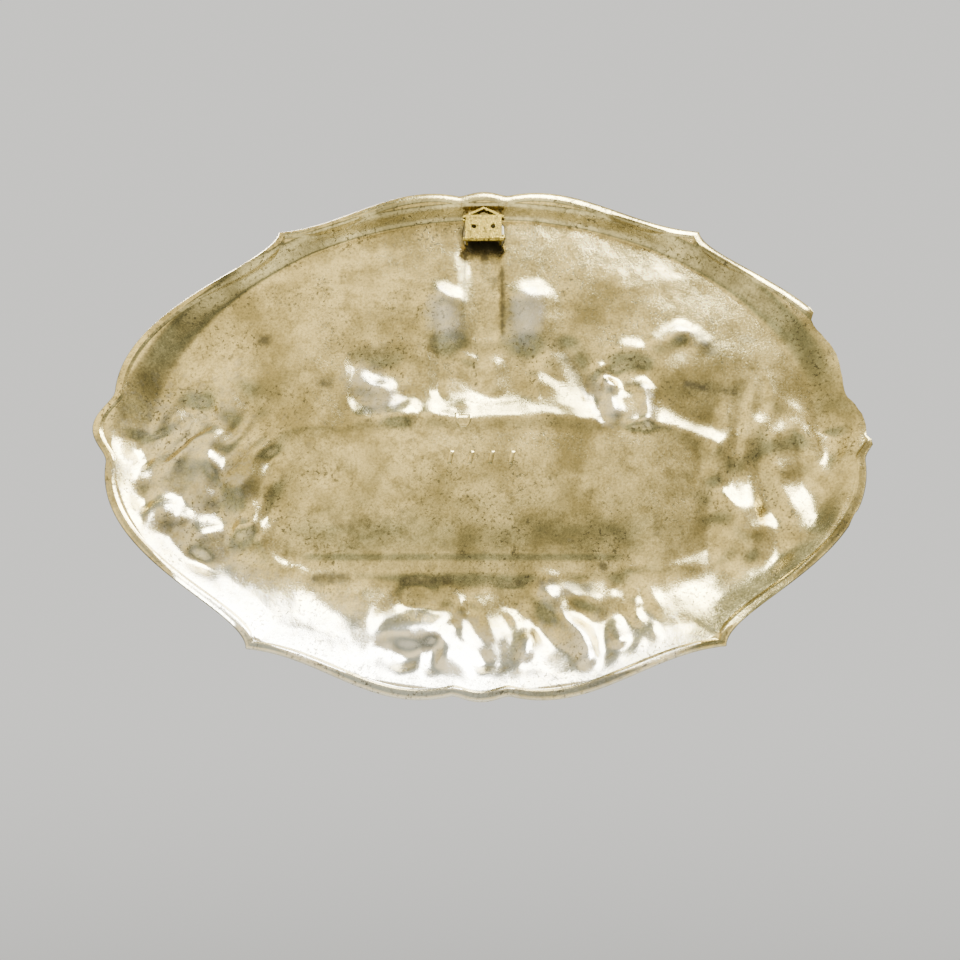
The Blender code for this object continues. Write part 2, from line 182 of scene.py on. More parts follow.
@dataclass(frozen=True)
class Oval:
    """An oval drawn by one cubic a quarter: ends on the short and long axis, and both pulls."""

    ends: Point
    pulls: Point

    def radius(self, bearing: Array) -> Array:
        """Distance from the centre at each bearing from the long axis, in radians.

        Args:
            bearing: angle from the long axis, from 0 to a quarter turn.

        Returns:
            The distance at each bearing.
        """
        points = cubic((0.0, self.ends[0]), (self.pulls[0], self.ends[0]),
                       (self.ends[1], self.pulls[1]), (self.ends[1], 0.0), 64)
        angle = np.arctan2(points[:, 1], points[:, 0])
        return np.interp(bearing, angle[::-1], np.hypot(points[:, 0], points[:, 1])[::-1])


@dataclass(frozen=True)
class Corner:
    """One corner of the scalloped outline: its cusp, and how much fuller than drawn its flank is."""

    cusp: Point
    fuller: float = 0.0


@dataclass(frozen=True)
class Rim:
    """The scalloped outline, its lip and its border.

    Each quarter runs from the crown to the end of the long axis. The corners are right top, right
    foot, left foot and left top, seen from the front.
    """

    half_width: float = 150.0
    half_height: float = 103.3
    crown_notch: Point = (10.3, 101.3)
    side_notch: Point = (143.1, 14.4)
    shoulder_pull: Point = (38.3, 108.1)
    cusp_pull_before: Point = (-27.6, 2.5)
    cusp_pull_after: Point = (1.1, -14.3)
    flank_pull: Point = (144.3, 51.9)
    end_share: float = 0.45
    notch_share: float = 0.75
    corners: tuple[Corner, ...] = (
        Corner((83.7, 84.8)), Corner((83.9, 85.0)), Corner((86.6, 83.6)), Corner((87.4, 83.6), 2.8))
    lip_width: float = 3.0
    lip_fall: float = 1.1
    lip_step: float = 0.9
    step_width: float = 0.9
    bead_width: float = 1.1
    bead_rise: float = 0.35
    shelf_fall: float = 1.0
    shelf_above: Oval = Oval((98.6, 142.5), (92.0, 40.0))
    foot_above: Oval = Oval((94.2, 130.0), (92.0, 31.0))
    shelf_below: Oval = Oval((99.2, 142.5), (92.0, 40.0))
    foot_below: Oval = Oval((60.0, 134.0), (98.0, 14.0))
    rings_below: Oval = Oval((92.0, 134.0), (93.0, 31.6))
    chip_from: float = -3.4
    chip_to: float = 20.6
    chip_bite: float = 5.2
    nick_at: float = -15.0
    nick_bite: float = 0.9
    steps: tuple[int, int, int, int] = (10, 62, 42, 8)

    def quarter(self, corner: Corner) -> Array:
        """A quarter of the outline, from the middle of the top to the end of the long axis.

        Args:
            corner: the corner that this quarter turns at.

        Returns:
            Points of the quarter, one row each.
        """
        cusp = np.array(corner.cusp)
        crown_pull = (self.crown_notch[0] * self.end_share, self.half_height)
        notch_pull = (self.crown_notch[0] * self.notch_share, self.crown_notch[1])
        side_pull = (self.side_notch[0], self.side_notch[1] * self.notch_share)
        end_pull = (self.half_width, self.side_notch[1] * self.end_share)
        flank_pull = np.add(self.flank_pull, corner.fuller)
        crown, shoulder, flank, side = self.steps
        stretches = (
            cubic((0.0, self.half_height), crown_pull, notch_pull, self.crown_notch, crown),
            cubic(self.crown_notch, self.shoulder_pull, cusp + self.cusp_pull_before, cusp, shoulder),
            cubic(cusp, cusp + self.cusp_pull_after, flank_pull, self.side_notch, flank),
            cubic(self.side_notch, side_pull, end_pull, (self.half_width, 0.0), side),
        )
        return np.vstack([stretch[:-1] for stretch in stretches] + [[[self.half_width, 0.0]]])

    def outline(self) -> Array:
        """The whole outline, clockwise seen from the front, from the middle of the top.

        Returns:
            Points of one closed run, the first not repeated.
        """
        right_top, right_foot, left_foot, left_top = (self.quarter(corner) for corner in self.corners)
        parts = (right_top, right_foot[::-1] * (1, -1), left_foot * (-1, -1), left_top[::-1] * (-1, 1))
        return np.vstack([part[:-1] for part in parts])

    def oval(self, above: Oval, below: Oval, x: Array, z: Array) -> Array:
        """Distance from the centre to an oval that is one size above the long axis, one below."""
        bearing = np.arctan2(np.abs(z), np.abs(x))
        return np.where(z >= 0.0, above.radius(bearing), below.radius(bearing))

    def wall(self, x: Array, z: Array) -> Array:
        """Share of the picture's depth between shelf and foot: an S curve above, a slope below.

        With s the share of the way from the shelf's oval to the foot's, the upper wall is the
        S curve of s and the lower ground is s itself, eased in over its last part.

        Args:
            x: places across.
            z: places up.

        Returns:
            The share at each place: 0 on the shelf, 1 at the foot and inside it.
        """
        away = np.hypot(x, z)
        shelf = self.oval(self.shelf_above, self.shelf_below, x, z)
        foot = self.oval(self.foot_above, self.foot_below, x, z)
        share = np.clip((shelf - away) / (shelf - foot), 0.0, 1.0)
        low = ramp(-z / np.maximum(away, 1e-6), -0.05, 0.45)
        even = share * (1.0 + 0.35 * (1.0 - share))
        return ramp(share, 0.0, 1.0) * (1.0 - low) + np.minimum(even, 1.0) * low

    def inset(self, x: Array, z: Array) -> Array:
        """How far a point lies inside the unbroken outline, along the line to the centre.

        Args:
            x: places across.
            z: places up.

        Returns:
            Millimetres inside the outline, negative outside it.
        """
        points = self.outline()
        angle = np.arctan2(points[:, 1], points[:, 0])
        order = np.argsort(angle)
        radius = np.hypot(points[order, 0], points[order, 1])
        return np.interp(np.arctan2(z, x), angle[order], radius, period=2.0 * math.pi) - np.hypot(x, z)

    def lost(self, points: Array) -> Array:
        """How much lip is broken off at each outline point: a long chip and a small nick.

        Args:
            points: points of the outline.

        Returns:
            Millimetres of lip lost at each point.
        """
        angle = np.degrees(np.arctan2(points[:, 1], -points[:, 0]))
        chip = ramp(angle, self.chip_from, self.chip_from + 2.0)
        chip = chip * (1.0 - ramp(angle, self.chip_to - 2.5, self.chip_to))
        nick = np.clip(1.0 - np.abs(angle - self.nick_at) / 1.6, 0.0, 1.0)
        ragged = 0.93 + 0.06 * np.sin(angle * 0.8 + 1.0) + 0.03 * np.sin(angle * 3.1)
        return self.chip_bite * chip * ragged + self.nick_bite * nick

    def lip_depth(self, inside: Array) -> Array:
        """Depth of lip and shelf: the lip falls outwards to a small bead; a step and a shelf inside.

        Args:
            inside: how far each place lies inside the outline.

        Returns:
            Depth of the lip and shelf at each place.
        """
        fall = self.lip_fall * (1.0 - ramp(inside, -0.6 * self.lip_width, self.lip_width))
        bead = np.clip(inside / self.bead_width, 0.0, 1.0)
        step = self.lip_step * ramp(inside, self.lip_width, self.lip_width + self.step_width)
        shelf = self.shelf_fall * np.clip((inside - self.lip_width) / 10.0, 0.0, 1.0)
        return fall + step + shelf - self.bead_rise * np.sin(math.pi * bead)


# The house, block by block: left, right, foot, top, height at foot and top, softness of the edges
HOUSE = (
    Block("tower", -7.0, 7.5, 40.0, 85.0, 2.2, 1.2, (4.0, 7.5, 8.0, 9.0)),
    Block("keep", -24.0, 20.5, 13.5, 57.0, 3.6, 0.7, (12.0, 5.5, 13.0, 6.0)),
    Block("hall", -43.0, -20.0, 13.0, 34.0, 3.4, 0.6, (7.0, 7.0, 12.0, 12.0)),
    Block("upper_storey", -64.0, 54.0, 11.0, 34.0, 2.4, 0.2, (8.0, 8.0, 12.0, 12.0)),
    Block("left_pavilion", -68.0, -45.0, 4.0, 28.0, 1.6, 2.6, (6.0, 5.0, 6.0, 8.0)),
    Block("right_pavilion", 30.0, 53.5, 3.0, 31.0, -0.6, 2.6, (9.0, 4.5, 5.0, 16.0)),
    Block("left_roof", -98.0, -62.0, 1.0, 24.0, 2.9, 0.2, (10.0, 8.0, 14.0, 16.0), 0.25),
    Block("right_roof", 52.0, 104.0, 2.0, 26.0, 2.3, 0.2, (12.0, 14.0, 16.0, 16.0), -0.05),
    Block("front_wall", -90.0, 82.0, -64.0, 5.0, 4.9, 1.2, (12.0, 14.0, 12.0, 9.0)),
    Block("plinth", -66.0, 80.0, -54.0, -22.0, 4.9, 2.2, (16.0, 14.0, 6.0, 26.0)),
    Block("terrace", -62.0, 76.0, -74.0, -48.2, 6.8, 4.78, (26.0, 22.0, 4.0, 1.9)),
    Block("meadow", -150.0, 150.0, -125.0, -50.0, 6.8, 6.8, (4.0, 4.0, 4.0, 26.0)),
)
# Rounded folds over the house and ground: ends, radius, rise; a negative rise is a swelling inwards
FOLDS = (
    # The banks of sky, trees and ground
    Limb((-40.0, 30.0), (40.0, 30.0), 34.0, 2.6),
    Limb((113.0, -8.0), (110.0, -34.0), 38.0, 2.4),
    Limb((-110.0, -8.0), (-108.0, -34.0), 38.0, 2.4),
    # The two domes beside the tower, and the roofs
    Limb((-17.0, 54.0), (-18.0, 44.0), 11.5, -3.1),
    Limb((17.0, 55.0), (15.0, 45.0), 10.0, -2.8),
    Limb((-35.0, 36.0), (-43.0, 20.0), 6.0, 1.8),
    Limb((-47.0, 27.0), (-50.5, 21.0), 4.6, -1.8),
    Limb((-50.0, 20.0), (-50.5, 9.0), 5.0, -2.4),
    Limb((-56.5, 15.0), (-56.5, 3.0), 3.0, -1.2),
    Limb((-62.5, 17.0), (-62.0, 5.0), 5.0, -2.4),
    Limb((-22.0, 20.5), (-35.0, 14.0), 7.0, -1.3),
    Limb((-5.0, 31.0), (-4.5, 22.0), 5.0, -1.0),
    Limb((6.0, 34.0), (3.0, 33.5), 3.0, -0.6),
    Limb((12.0, 19.0), (8.0, 17.0), 6.0, -0.9),
    Limb((48.0, 24.0), (41.0, 19.0), 7.5, -1.6),
    Limb((38.0, 11.0), (32.0, 10.0), 6.0, -1.4),
    # Cloud and the eaves of the wings
    Limb((-71.0, 38.0), (-78.0, 42.0), 5.0, -0.9),
    Limb((-78.0, 42.0), (-88.0, 38.0), 5.0, -0.9),
    Limb((-55.0, 35.0), (-62.0, 33.5), 4.6, -0.9),
    Limb((-66.0, 7.0), (-91.0, -3.0), 6.0, -0.7),
    Limb((62.0, 7.5), (92.0, 5.0), 9.0, -0.5),
    # Trees on the right
    Limb((97.0, 25.0), (108.0, 17.0), 10.0, -1.1),
    Limb((117.5, 3.0), (121.0, -19.0), 7.6, -1.5),
    Limb((105.5, -3.0), (109.0, -24.0), 7.4, -1.7),
    Limb((98.5, 2.0), (99.5, 0.0), 9.0, -1.3),
    Limb((96.0, -20.0), (84.0, -18.0), 7.4, -1.2),
    Limb((118.5, -32.0), (108.0, -36.0), 7.4, -1.1),
    Limb((99.0, -46.0), (92.0, -42.0), 7.5, -1.2),
    Limb((101.5, -27.0), (100.0, -43.0), 7.0, 1.2),
    # Trees on the left
    Limb((-109.0, -0.5), (-116.0, -1.5), 8.6, -1.5),
    Limb((-113.0, -16.0), (-117.0, -29.0), 7.8, -1.4),
    Limb((-100.0, -25.0), (-101.5, -46.0), 7.4, -1.8),
    Limb((-95.0, -9.0), (-96.5, -21.0), 6.6, 1.2),
    Limb((-107.0, -14.0), (-108.5, -32.0), 6.0, 1.2),
    Limb((-127.0, -10.0), (-124.5, -32.0), 8.5, 1.0),
    Limb((-86.5, -39.0), (-87.5, -50.0), 7.4, 1.0),
    # Banks and bushes of the foreground
    Limb((34.0, -72.0), (24.0, -65.0), 7.5, 1.7),
    Limb((24.0, -65.0), (11.0, -72.0), 7.5, 1.7),
    Limb((32.0, -78.0), (20.0, -77.5), 6.6, -1.5),
    Limb((35.0, -84.0), (29.0, -88.5), 6.0, 1.5),
    Limb((29.0, -88.5), (20.0, -84.5), 6.0, 1.4),
    Limb((18.0, -84.0), (18.5, -90.5), 4.6, 1.5),
    Limb((12.0, -86.0), (7.0, -88.0), 6.0, -1.5),
    Limb((3.5, -68.0), (1.0, -88.0), 4.4, 1.3),
    Limb((-12.0, -68.0), (-18.0, -73.0), 9.0, 1.7),
    Limb((-25.0, -61.5), (-33.0, -64.0), 7.0, -1.6),
    Limb((-24.0, -77.0), (-27.0, -84.0), 8.0, 1.9),
    Limb((-36.0, -79.0), (-37.0, -87.0), 5.6, -2.0),
    Limb((-42.0, -80.0), (-43.0, -87.0), 5.0, 1.1),
    Limb((-41.0, -72.5), (-58.0, -71.0), 8.0, 1.7),
    Limb((-48.0, -74.0), (-49.0, -79.0), 4.0, -1.4),
    Limb((-57.0, -68.5), (-58.0, -73.0), 4.0, -1.3),
    Limb((58.0, -66.5), (53.0, -69.5), 9.5, 1.3),
    Limb((-84.0, -58.0), (-90.0, -66.0), 9.0, 0.9),
    # The foot of the house
    Limb((64.0, -47.0), (-54.0, -47.0), 13.0, 0.7),
)


@dataclass(frozen=True)
class Thicket:
    """A patch of tangled boughs or ground: uneven swellings inside an oval, drawn out along a lean.

    The pattern is smooth random height, finer across than along, bent by slower random height.
    """

    middle: Point
    reach: Point
    across: float
    along: float
    lean: float
    rise: float
    seed: int

    def cover(self, x: Array, z: Array) -> Array:
        """Where the thicket is: 1 inside its oval, fading to 0 at the edge."""
        away = np.hypot((x - self.middle[0]) / self.reach[0], (z - self.middle[1]) / self.reach[1])
        return 1.0 - ramp(away, 0.62, 1.0)

    def height(self, x: Array, z: Array) -> Array:
        """Height of the swellings at each place, fading out to the edge of the oval.

        Args:
            x: places across.
            z: places up.

        Returns:
            The height at each place, 0 outside the oval.
        """
        turn = math.radians(self.lean)
        bent_x = x + 3.5 * cast_grain(x, z, 17.0, self.seed + 1)
        bent_z = z + 3.5 * cast_grain(x, z, 17.0, self.seed + 2)
        u = (bent_x * math.cos(turn) - bent_z * math.sin(turn)) / self.across
        v = (bent_x * math.sin(turn) + bent_z * math.cos(turn)) / self.along
        coarse, fine = cast_grain(u, v, 1.0, self.seed), cast_grain(u, v, 0.47, self.seed + 3)
        return self.rise * (coarse + 0.38 * fine) * self.cover(x, z)


# Trees, foreground and two weak patches of wall
THICKETS = (
    Thicket((108.0, -20.0), (36.0, 44.0), 7.5, 13.0, -28.0, 2.6, 21),
    Thicket((-108.0, -18.0), (34.0, 46.0), 7.5, 14.0, 12.0, 1.7, 31),
    Thicket((-12.0, -76.0), (40.0, 21.0), 8.5, 11.0, 20.0, 1.6, 41),
    Thicket((-48.0, -72.0), (26.0, 19.0), 8.0, 12.0, 5.0, 1.1, 51),
    Thicket((30.0, 18.0), (34.0, 18.0), 9.0, 9.0, 0.0, 0.45, 61),
    Thicket((-78.0, 30.0), (36.0, 18.0), 11.0, 9.0, 60.0, 0.4, 71),
)


@dataclass(frozen=True)
class WindowRow:
    """A row of sunk openings with a raised frame, such as windows or the gaps of a balustrade."""

    left: float
    right: float
    count: int
    foot: float
    wide: float
    tall: float
    sunk: float = 1.0
    frame: float = 0.45

    def opening(self, x: Array, z: Array, margin: float) -> Array:
        """Where the openings are, grown by a margin: 1 inside, 0 outside.

        Args:
            x: places across.
            z: places up.
            margin: how far each opening is grown.

        Returns:
            The share at each place, with an edge 0.9 wide.
        """
        pitch = (self.right - self.left) / self.count
        aside = np.abs(np.mod(x - self.left, pitch) - 0.5 * pitch) - 0.5 * self.wide - margin
        up = np.abs(z - self.foot - 0.5 * self.tall) - 0.5 * self.tall - margin
        in_row = (x > self.left) & (x < self.right)
        return (1.0 - ramp(np.maximum(aside, up), -0.45, 0.45)) * in_row

    def relief(self, x: Array, z: Array) -> Array:
        """Height over the wall: the frame stands up and the opening is sunk."""
        inner = self.opening(x, z, 0.0)
        return self.frame * (self.opening(x, z, 1.1) - inner) - self.sunk * inner


# Window rows, the door, the balustrade and the battlements
WINDOWS = (
    WindowRow(-84.0, 78.0, 14, -13.0, 4.0, 8.0),
    WindowRow(-84.0, -8.0, 6, -34.0, 5.0, 12.0),
    WindowRow(8.0, 78.0, 6, -34.0, 5.0, 12.0),
    WindowRow(-8.0, 8.0, 1, -44.0, 8.0, 20.0),
    WindowRow(-60.0, 74.0, 38, -58.0, 1.7, 7.0, 0.8, 0.0),
    WindowRow(-22.0, 19.0, 4, 24.0, 3.6, 7.0),
    WindowRow(-22.0, 19.0, 4, 38.0, 3.2, 6.0),
    WindowRow(-42.0, -24.0, 2, 18.0, 3.4, 6.0),
    WindowRow(-67.0, -46.0, 2, 10.0, 3.6, 7.0),
    WindowRow(32.0, 53.0, 2, 10.0, 3.6, 7.0),
    WindowRow(-5.0, 5.0, 1, 58.0, 3.4, 7.0),
    WindowRow(-5.0, 5.0, 1, 71.0, 3.4, 7.0),
    WindowRow(-8.0, 8.0, 4, 82.5, 1.6, 3.0, 1.4, 0.0),
)
# Raised string courses and copings
COURSES = (
    Limb((-88.0, 3.5), (80.0, 3.5), 1.5, 0.8),
    Limb((-86.0, -17.5), (80.0, -17.5), 1.2, 0.5),
    Limb((-62.0, -48.5), (74.0, -48.5), 1.6, 0.7),
    Limb((-62.0, -60.5), (74.0, -60.5), 1.6, 0.7),
    Limb((-24.0, 34.0), (20.5, 34.0), 1.2, 0.5),
    Limb((-25.0, 48.0), (21.5, 48.0), 1.3, 0.7),
    Limb((-8.0, 68.0), (8.0, 68.0), 1.2, 0.5),
    Limb((-8.5, 81.0), (8.5, 81.0), 1.4, 0.7),
    Limb((-68.0, 20.0), (-45.0, 20.0), 1.2, 0.6),
    Limb((31.0, 20.0), (54.0, 20.0), 1.2, 0.6),
)


@dataclass(frozen=True)
class Relief:
    """Depths of both sides below the plane of the rim, counted towards the front.

    Each grain of the skin is its rise, size and seed; each border line its rise, distance from the
    outline and half width.
    """

    rim: Rim = field(default_factory=Rim)
    cast_wall: float = 2.0
    thinnest_wall: float = 1.5
    crispness: float = 0.5
    sky_depth: float = 8.0
    deepest: float = 16.6
    wander: float = 0.7
    skin: tuple[tuple[float, float, int], ...] = ((0.3, 26.0, 5), (0.17, 9.0, 3), (0.07, 3.4, 4))
    border_lines: tuple[tuple[float, float, float], ...] = ((0.9, 6.6, 1.5), (0.4, 2.2, 1.0))

    @staticmethod
    def stray(x: Array, z: Array, by: Array | float) -> tuple[Array, Array]:
        """Shift places along two slow waves each way, so that nothing runs dead straight."""
        return (x + by * (np.sin(z / 7.3 + 0.4) + 0.7 * np.sin(x / 5.1 + z / 8.7)),
                z + by * (np.sin(x / 6.9 + 1.3) + 0.6 * np.sin(x / 3.7 - z / 9.3)))

    def picture(self, x: Array, z: Array, softness: float) -> tuple[Array, Array]:
        """Depth of the proudest part of the building, and the folds that add to it.

        Args:
            x: places across.
            z: places up.
            softness: 1 for the back, less for the front.

        Returns:
            Depth of the building at each place, and what the folds add.
        """
        stray = self.wander * max(softness - self.crispness, 0.0) / (1.0 - self.crispness)
        built_x, built_z = self.stray(x, z, stray * ramp(z, -45.0, -20.0))
        built = np.maximum.reduce([block.height(built_x, built_z, softness) for block in HOUSE])
        grown_x, grown_z = self.stray(x, z, 1.0)
        return self.sky_depth + built, sum(fold.height(grown_x, grown_z) for fold in FOLDS + THICKETS)

    def side(self, x: Array, z: Array, softness: float, clear: float) -> Array:
        """Depth of one side: lip and shelf, then the wall, then the picture.

        Args:
            x: places across.
            z: places up.
            softness: 1 for the back, less for the front.
            clear: how far the lip is shifted outwards.

        Returns:
            Depth at each place.
        """
        inside, wall = self.rim.inset(x, z), self.rim.wall(x, z)
        lip = self.rim.lip_depth(inside + clear)
        built, folds = self.picture(x, z, softness)
        near = ramp(inside, self.rim.lip_width + 1.0, self.rim.lip_width + 9.0)
        return lip + (built - lip) * wall + folds * near

    def back(self, x: Array, z: Array) -> Array:
        """Depth of the hollow side, with the uneven skin of sand casting."""
        near = ramp(self.rim.inset(x, z), 4.0, 12.0)
        skin = sum(rise * cast_grain(x, z, size, seed) for rise, size, seed in self.skin)
        return np.minimum(self.side(x, z, 1.0, 0.0) + skin * near, self.deepest - self.thinnest_wall)

    def front(self, x: Array, z: Array) -> Array:
        """Depth of the picture side: the same forms, crisper, a wall's thickness further out.

        Args:
            x: places across.
            z: places up.

        Returns:
            Depth at each place.
        """
        inside = self.rim.inset(x, z)
        crisp = self.side(x, z, self.crispness, self.cast_wall)
        edge = (self.cast_wall - self.thinnest_wall) * (1.0 - ramp(inside, 0.0, self.rim.lip_width))
        chased = self.chasing(x, z) * ramp(inside, 9.0, 14.0) + self.moulding(inside)
        proud = np.maximum(crisp + self.cast_wall - edge + chased, self.back(x, z) + self.thinnest_wall)
        return np.minimum(proud, self.deepest)

    @staticmethod
    def chasing(x: Array, z: Array) -> Array:
        """Fine relief of the picture side: windows, courses, leaves and thin cloud.

        Args:
            x: places across.
            z: places up.

        Returns:
            Height to add at each place.
        """
        built = sum(row.relief(x, z) for row in WINDOWS) + sum(course.height(x, z) for course in COURSES)
        leafy = np.clip(sum(thicket.cover(x, z) for thicket in THICKETS[:4]), 0.0, 1.0)
        leaves = 0.55 * cast_grain(x, z, 3.3, 8) + 0.35 * cast_grain(x, z, 6.1, 9)
        cloud = 0.5 * cast_grain(x / 1.9, z, 9.0, 12) * ramp(z, 36.0, 50.0) * ramp(np.abs(x), 10.0, 26.0)
        return (built + 0.6) * (1.0 - leafy) + (leaves + 0.6) * leafy + cloud

    def moulding(self, inside: Array) -> Array:
        """Two raised lines that frame the picture: each is rise times 1 - (away / half width)^2."""
        return sum(rise * np.clip(1.0 - ((inside - at) / half) ** 2, 0.0, 1.0)
                   for rise, at, half in self.border_lines)


class Side(Enum):
    """The sides of the casting, each with the material slot that its faces use."""

    BACK = 0
    FRONT = 1
    BREAK = 2


# Dark marks of the back: painted shade along both edges of the tower, under the bracket at the tower's top
# and on the slanting flank beside the hall; the rest are darker spots, streaks and patches: ends, radius,
# strength
STAINS_AND_SHADE = (
    # Painted shade on the slanting flank beside the hall
    Limb((-33.0, 34.0), (-42.0, 20.0), 5.0, 0.8),
    # Darker spots and streaks
    Limb((-45.5, -52.0), (-45.5, -52.1), 2.6, 1.6),
    Limb((89.0, 40.0), (87.5, 39.5), 3.6, 1.1),
    Limb((65.0, 22.0), (61.0, 21.5), 3.4, 0.8),
    Limb((-86.0, 39.0), (-90.0, 35.0), 5.5, 1.0),
    Limb((-103.0, 39.5), (-107.0, 38.5), 2.4, 0.9),
    Limb((-80.0, 20.0), (-88.0, 18.5), 2.6, 1.1),
    Limb((-92.0, 17.5), (-99.0, 17.0), 2.2, 0.8),
    Limb((-22.0, 92.0), (-18.0, 76.0), 3.0, 0.6),
    Limb((40.0, 36.0), (46.0, 35.0), 4.5, 0.6),
    Limb((12.0, -57.5), (30.0, -57.5), 2.6, 0.7),
    Limb((52.0, -57.0), (62.0, -56.0), 4.0, 1.0),
    Limb((-34.0, -59.5), (-40.0, -60.0), 3.6, 1.1),
    Limb((-6.0, -58.5), (-30.0, -58.5), 2.0, 0.6),
    Limb((40.0, -61.0), (43.0, -62.0), 3.4, 0.7),
    Limb((0.0, 75.0), (-3.0, 66.0), 5.0, 0.5),
    Limb((-57.0, 21.5), (-62.0, 20.5), 2.4, 0.9),
    Limb((8.0, 9.0), (8.0, 3.0), 5.0, 0.5),
    # Painted shade under the bracket and along both edges of the tower
    Limb((-5.0, 88.0), (5.0, 88.0), 7.0, 1.6),
    Limb((7.6, 80.0), (8.2, 46.0), 1.3, 0.8),
    Limb((-7.6, 72.0), (-7.8, 44.0), 1.7, 1.0),
    Limb((-4.0, 80.0), (4.0, 80.0), 5.0, 0.8),
    # Broad darker patches
    Limb((30.0, -36.0), (56.0, -36.0), 8.0, 0.35),
    Limb((-64.0, -24.0), (-66.0, -40.0), 4.0, 0.4),
    Limb((-86.0, -54.0), (-90.0, -60.0), 8.0, 0.5),
)
# Painted highlights on the back, where the metal is drawn paler in place of a lamp's reflection: the foot of
# the dish, the trees on the right, the domes beside the tower and both pavilions: ends, radius, strength
PAINTED_HIGHLIGHTS = (
    Limb((96.0, -78.0), (20.0, -98.0), 30.0, 1.4),
    Limb((20.0, -98.0), (-60.0, -94.0), 28.0, 1.0),
    Limb((118.0, -6.0), (112.0, -40.0), 34.0, 0.6),
    Limb((-18.0, 51.0), (-16.0, 44.0), 10.0, 0.9),
    Limb((17.5, 51.0), (14.0, 45.0), 9.0, 0.9),
    Limb((-46.0, 20.0), (-50.0, 9.0), 9.0, 0.7),
    Limb((48.0, 24.0), (40.0, 14.0), 11.0, 0.8),
)


def edge_of(grid: Array) -> Array:
    """The edge of a grid as a closed run, clockwise from the middle of the top.

    Args:
        grid: points or numbers, columns first, with an odd number of columns.

    Returns:
        The edge, the first not repeated.
    """
    half = len(grid) // 2
    runs = (grid[half:, -1], grid[-1, -2:0:-1], grid[::-1, 0], grid[0, 1:-1], grid[:half, -1])
    return np.concatenate(runs)


@dataclass
class SheetOfCasting:
    """Vertices and quads of one side, gathered while the mesh is laid out."""

    points: list[Array] = field(default_factory=list)
    quads: list[Array] = field(default_factory=list)
    sides: list[Array] = field(default_factory=list)
    count: int = 0

    def add(self, points: Array) -> Array:
        """Add vertices and give their numbers.

        Args:
            points: one row for each vertex.

        Returns:
            The number of each vertex.
        """
        self.points.append(points)
        numbers = self.count + np.arange(len(points))
        self.count += len(points)
        return numbers

    def join(self, inner: Array, outer: Array, side: Side, turned: bool) -> None:
        """Join two closed rings of vertices by quads."""
        quads = np.stack([inner, outer, np.roll(outer, -1), np.roll(inner, -1)], axis=1)
        self.take(quads, side, turned)

    def take(self, quads: Array, side: Side, turned: bool) -> None:
        """Add quads, turned over where asked."""
        self.quads.append(quads[:, ::-1] if turned else quads)
        self.sides.append(np.full(len(quads), side.value))

    def cover(self, grid: Array, side: Side, turned: bool) -> Array:
        """Add a grid of points, columns first, with its quads, and give its numbers.

        Args:
            grid: points, columns first.
            side: the side whose material the quads use.
            turned: whether the quads face the other way.

        Returns:
            The numbers, in the shape of the grid.
        """
        numbers = self.add(grid.reshape(-1, 3)).reshape(grid.shape[:2])
        corners = (numbers[:-1, :-1], numbers[:-1, 1:], numbers[1:, 1:], numbers[1:, :-1])
        self.take(np.stack([corner.ravel() for corner in corners], axis=1), side, turned)
        return numbers

    def mesh(self, name: str) -> bpy.types.Mesh:
        """Make a smooth mesh of everything gathered, sharp only at steep edges.

        Args:
            name: the mesh's name.

        Returns:
            The mesh.
        """
        mesh = bpy.data.meshes.new(name)
        mesh.from_pydata(np.concatenate(self.points), [], np.concatenate(self.quads).tolist())
        mesh.polygons.foreach_set("material_index", np.concatenate(self.sides).astype(np.int32))
        mesh.shade_smooth()
        mesh.set_sharp_from_angle(angle=math.radians(50.0))
        return mesh


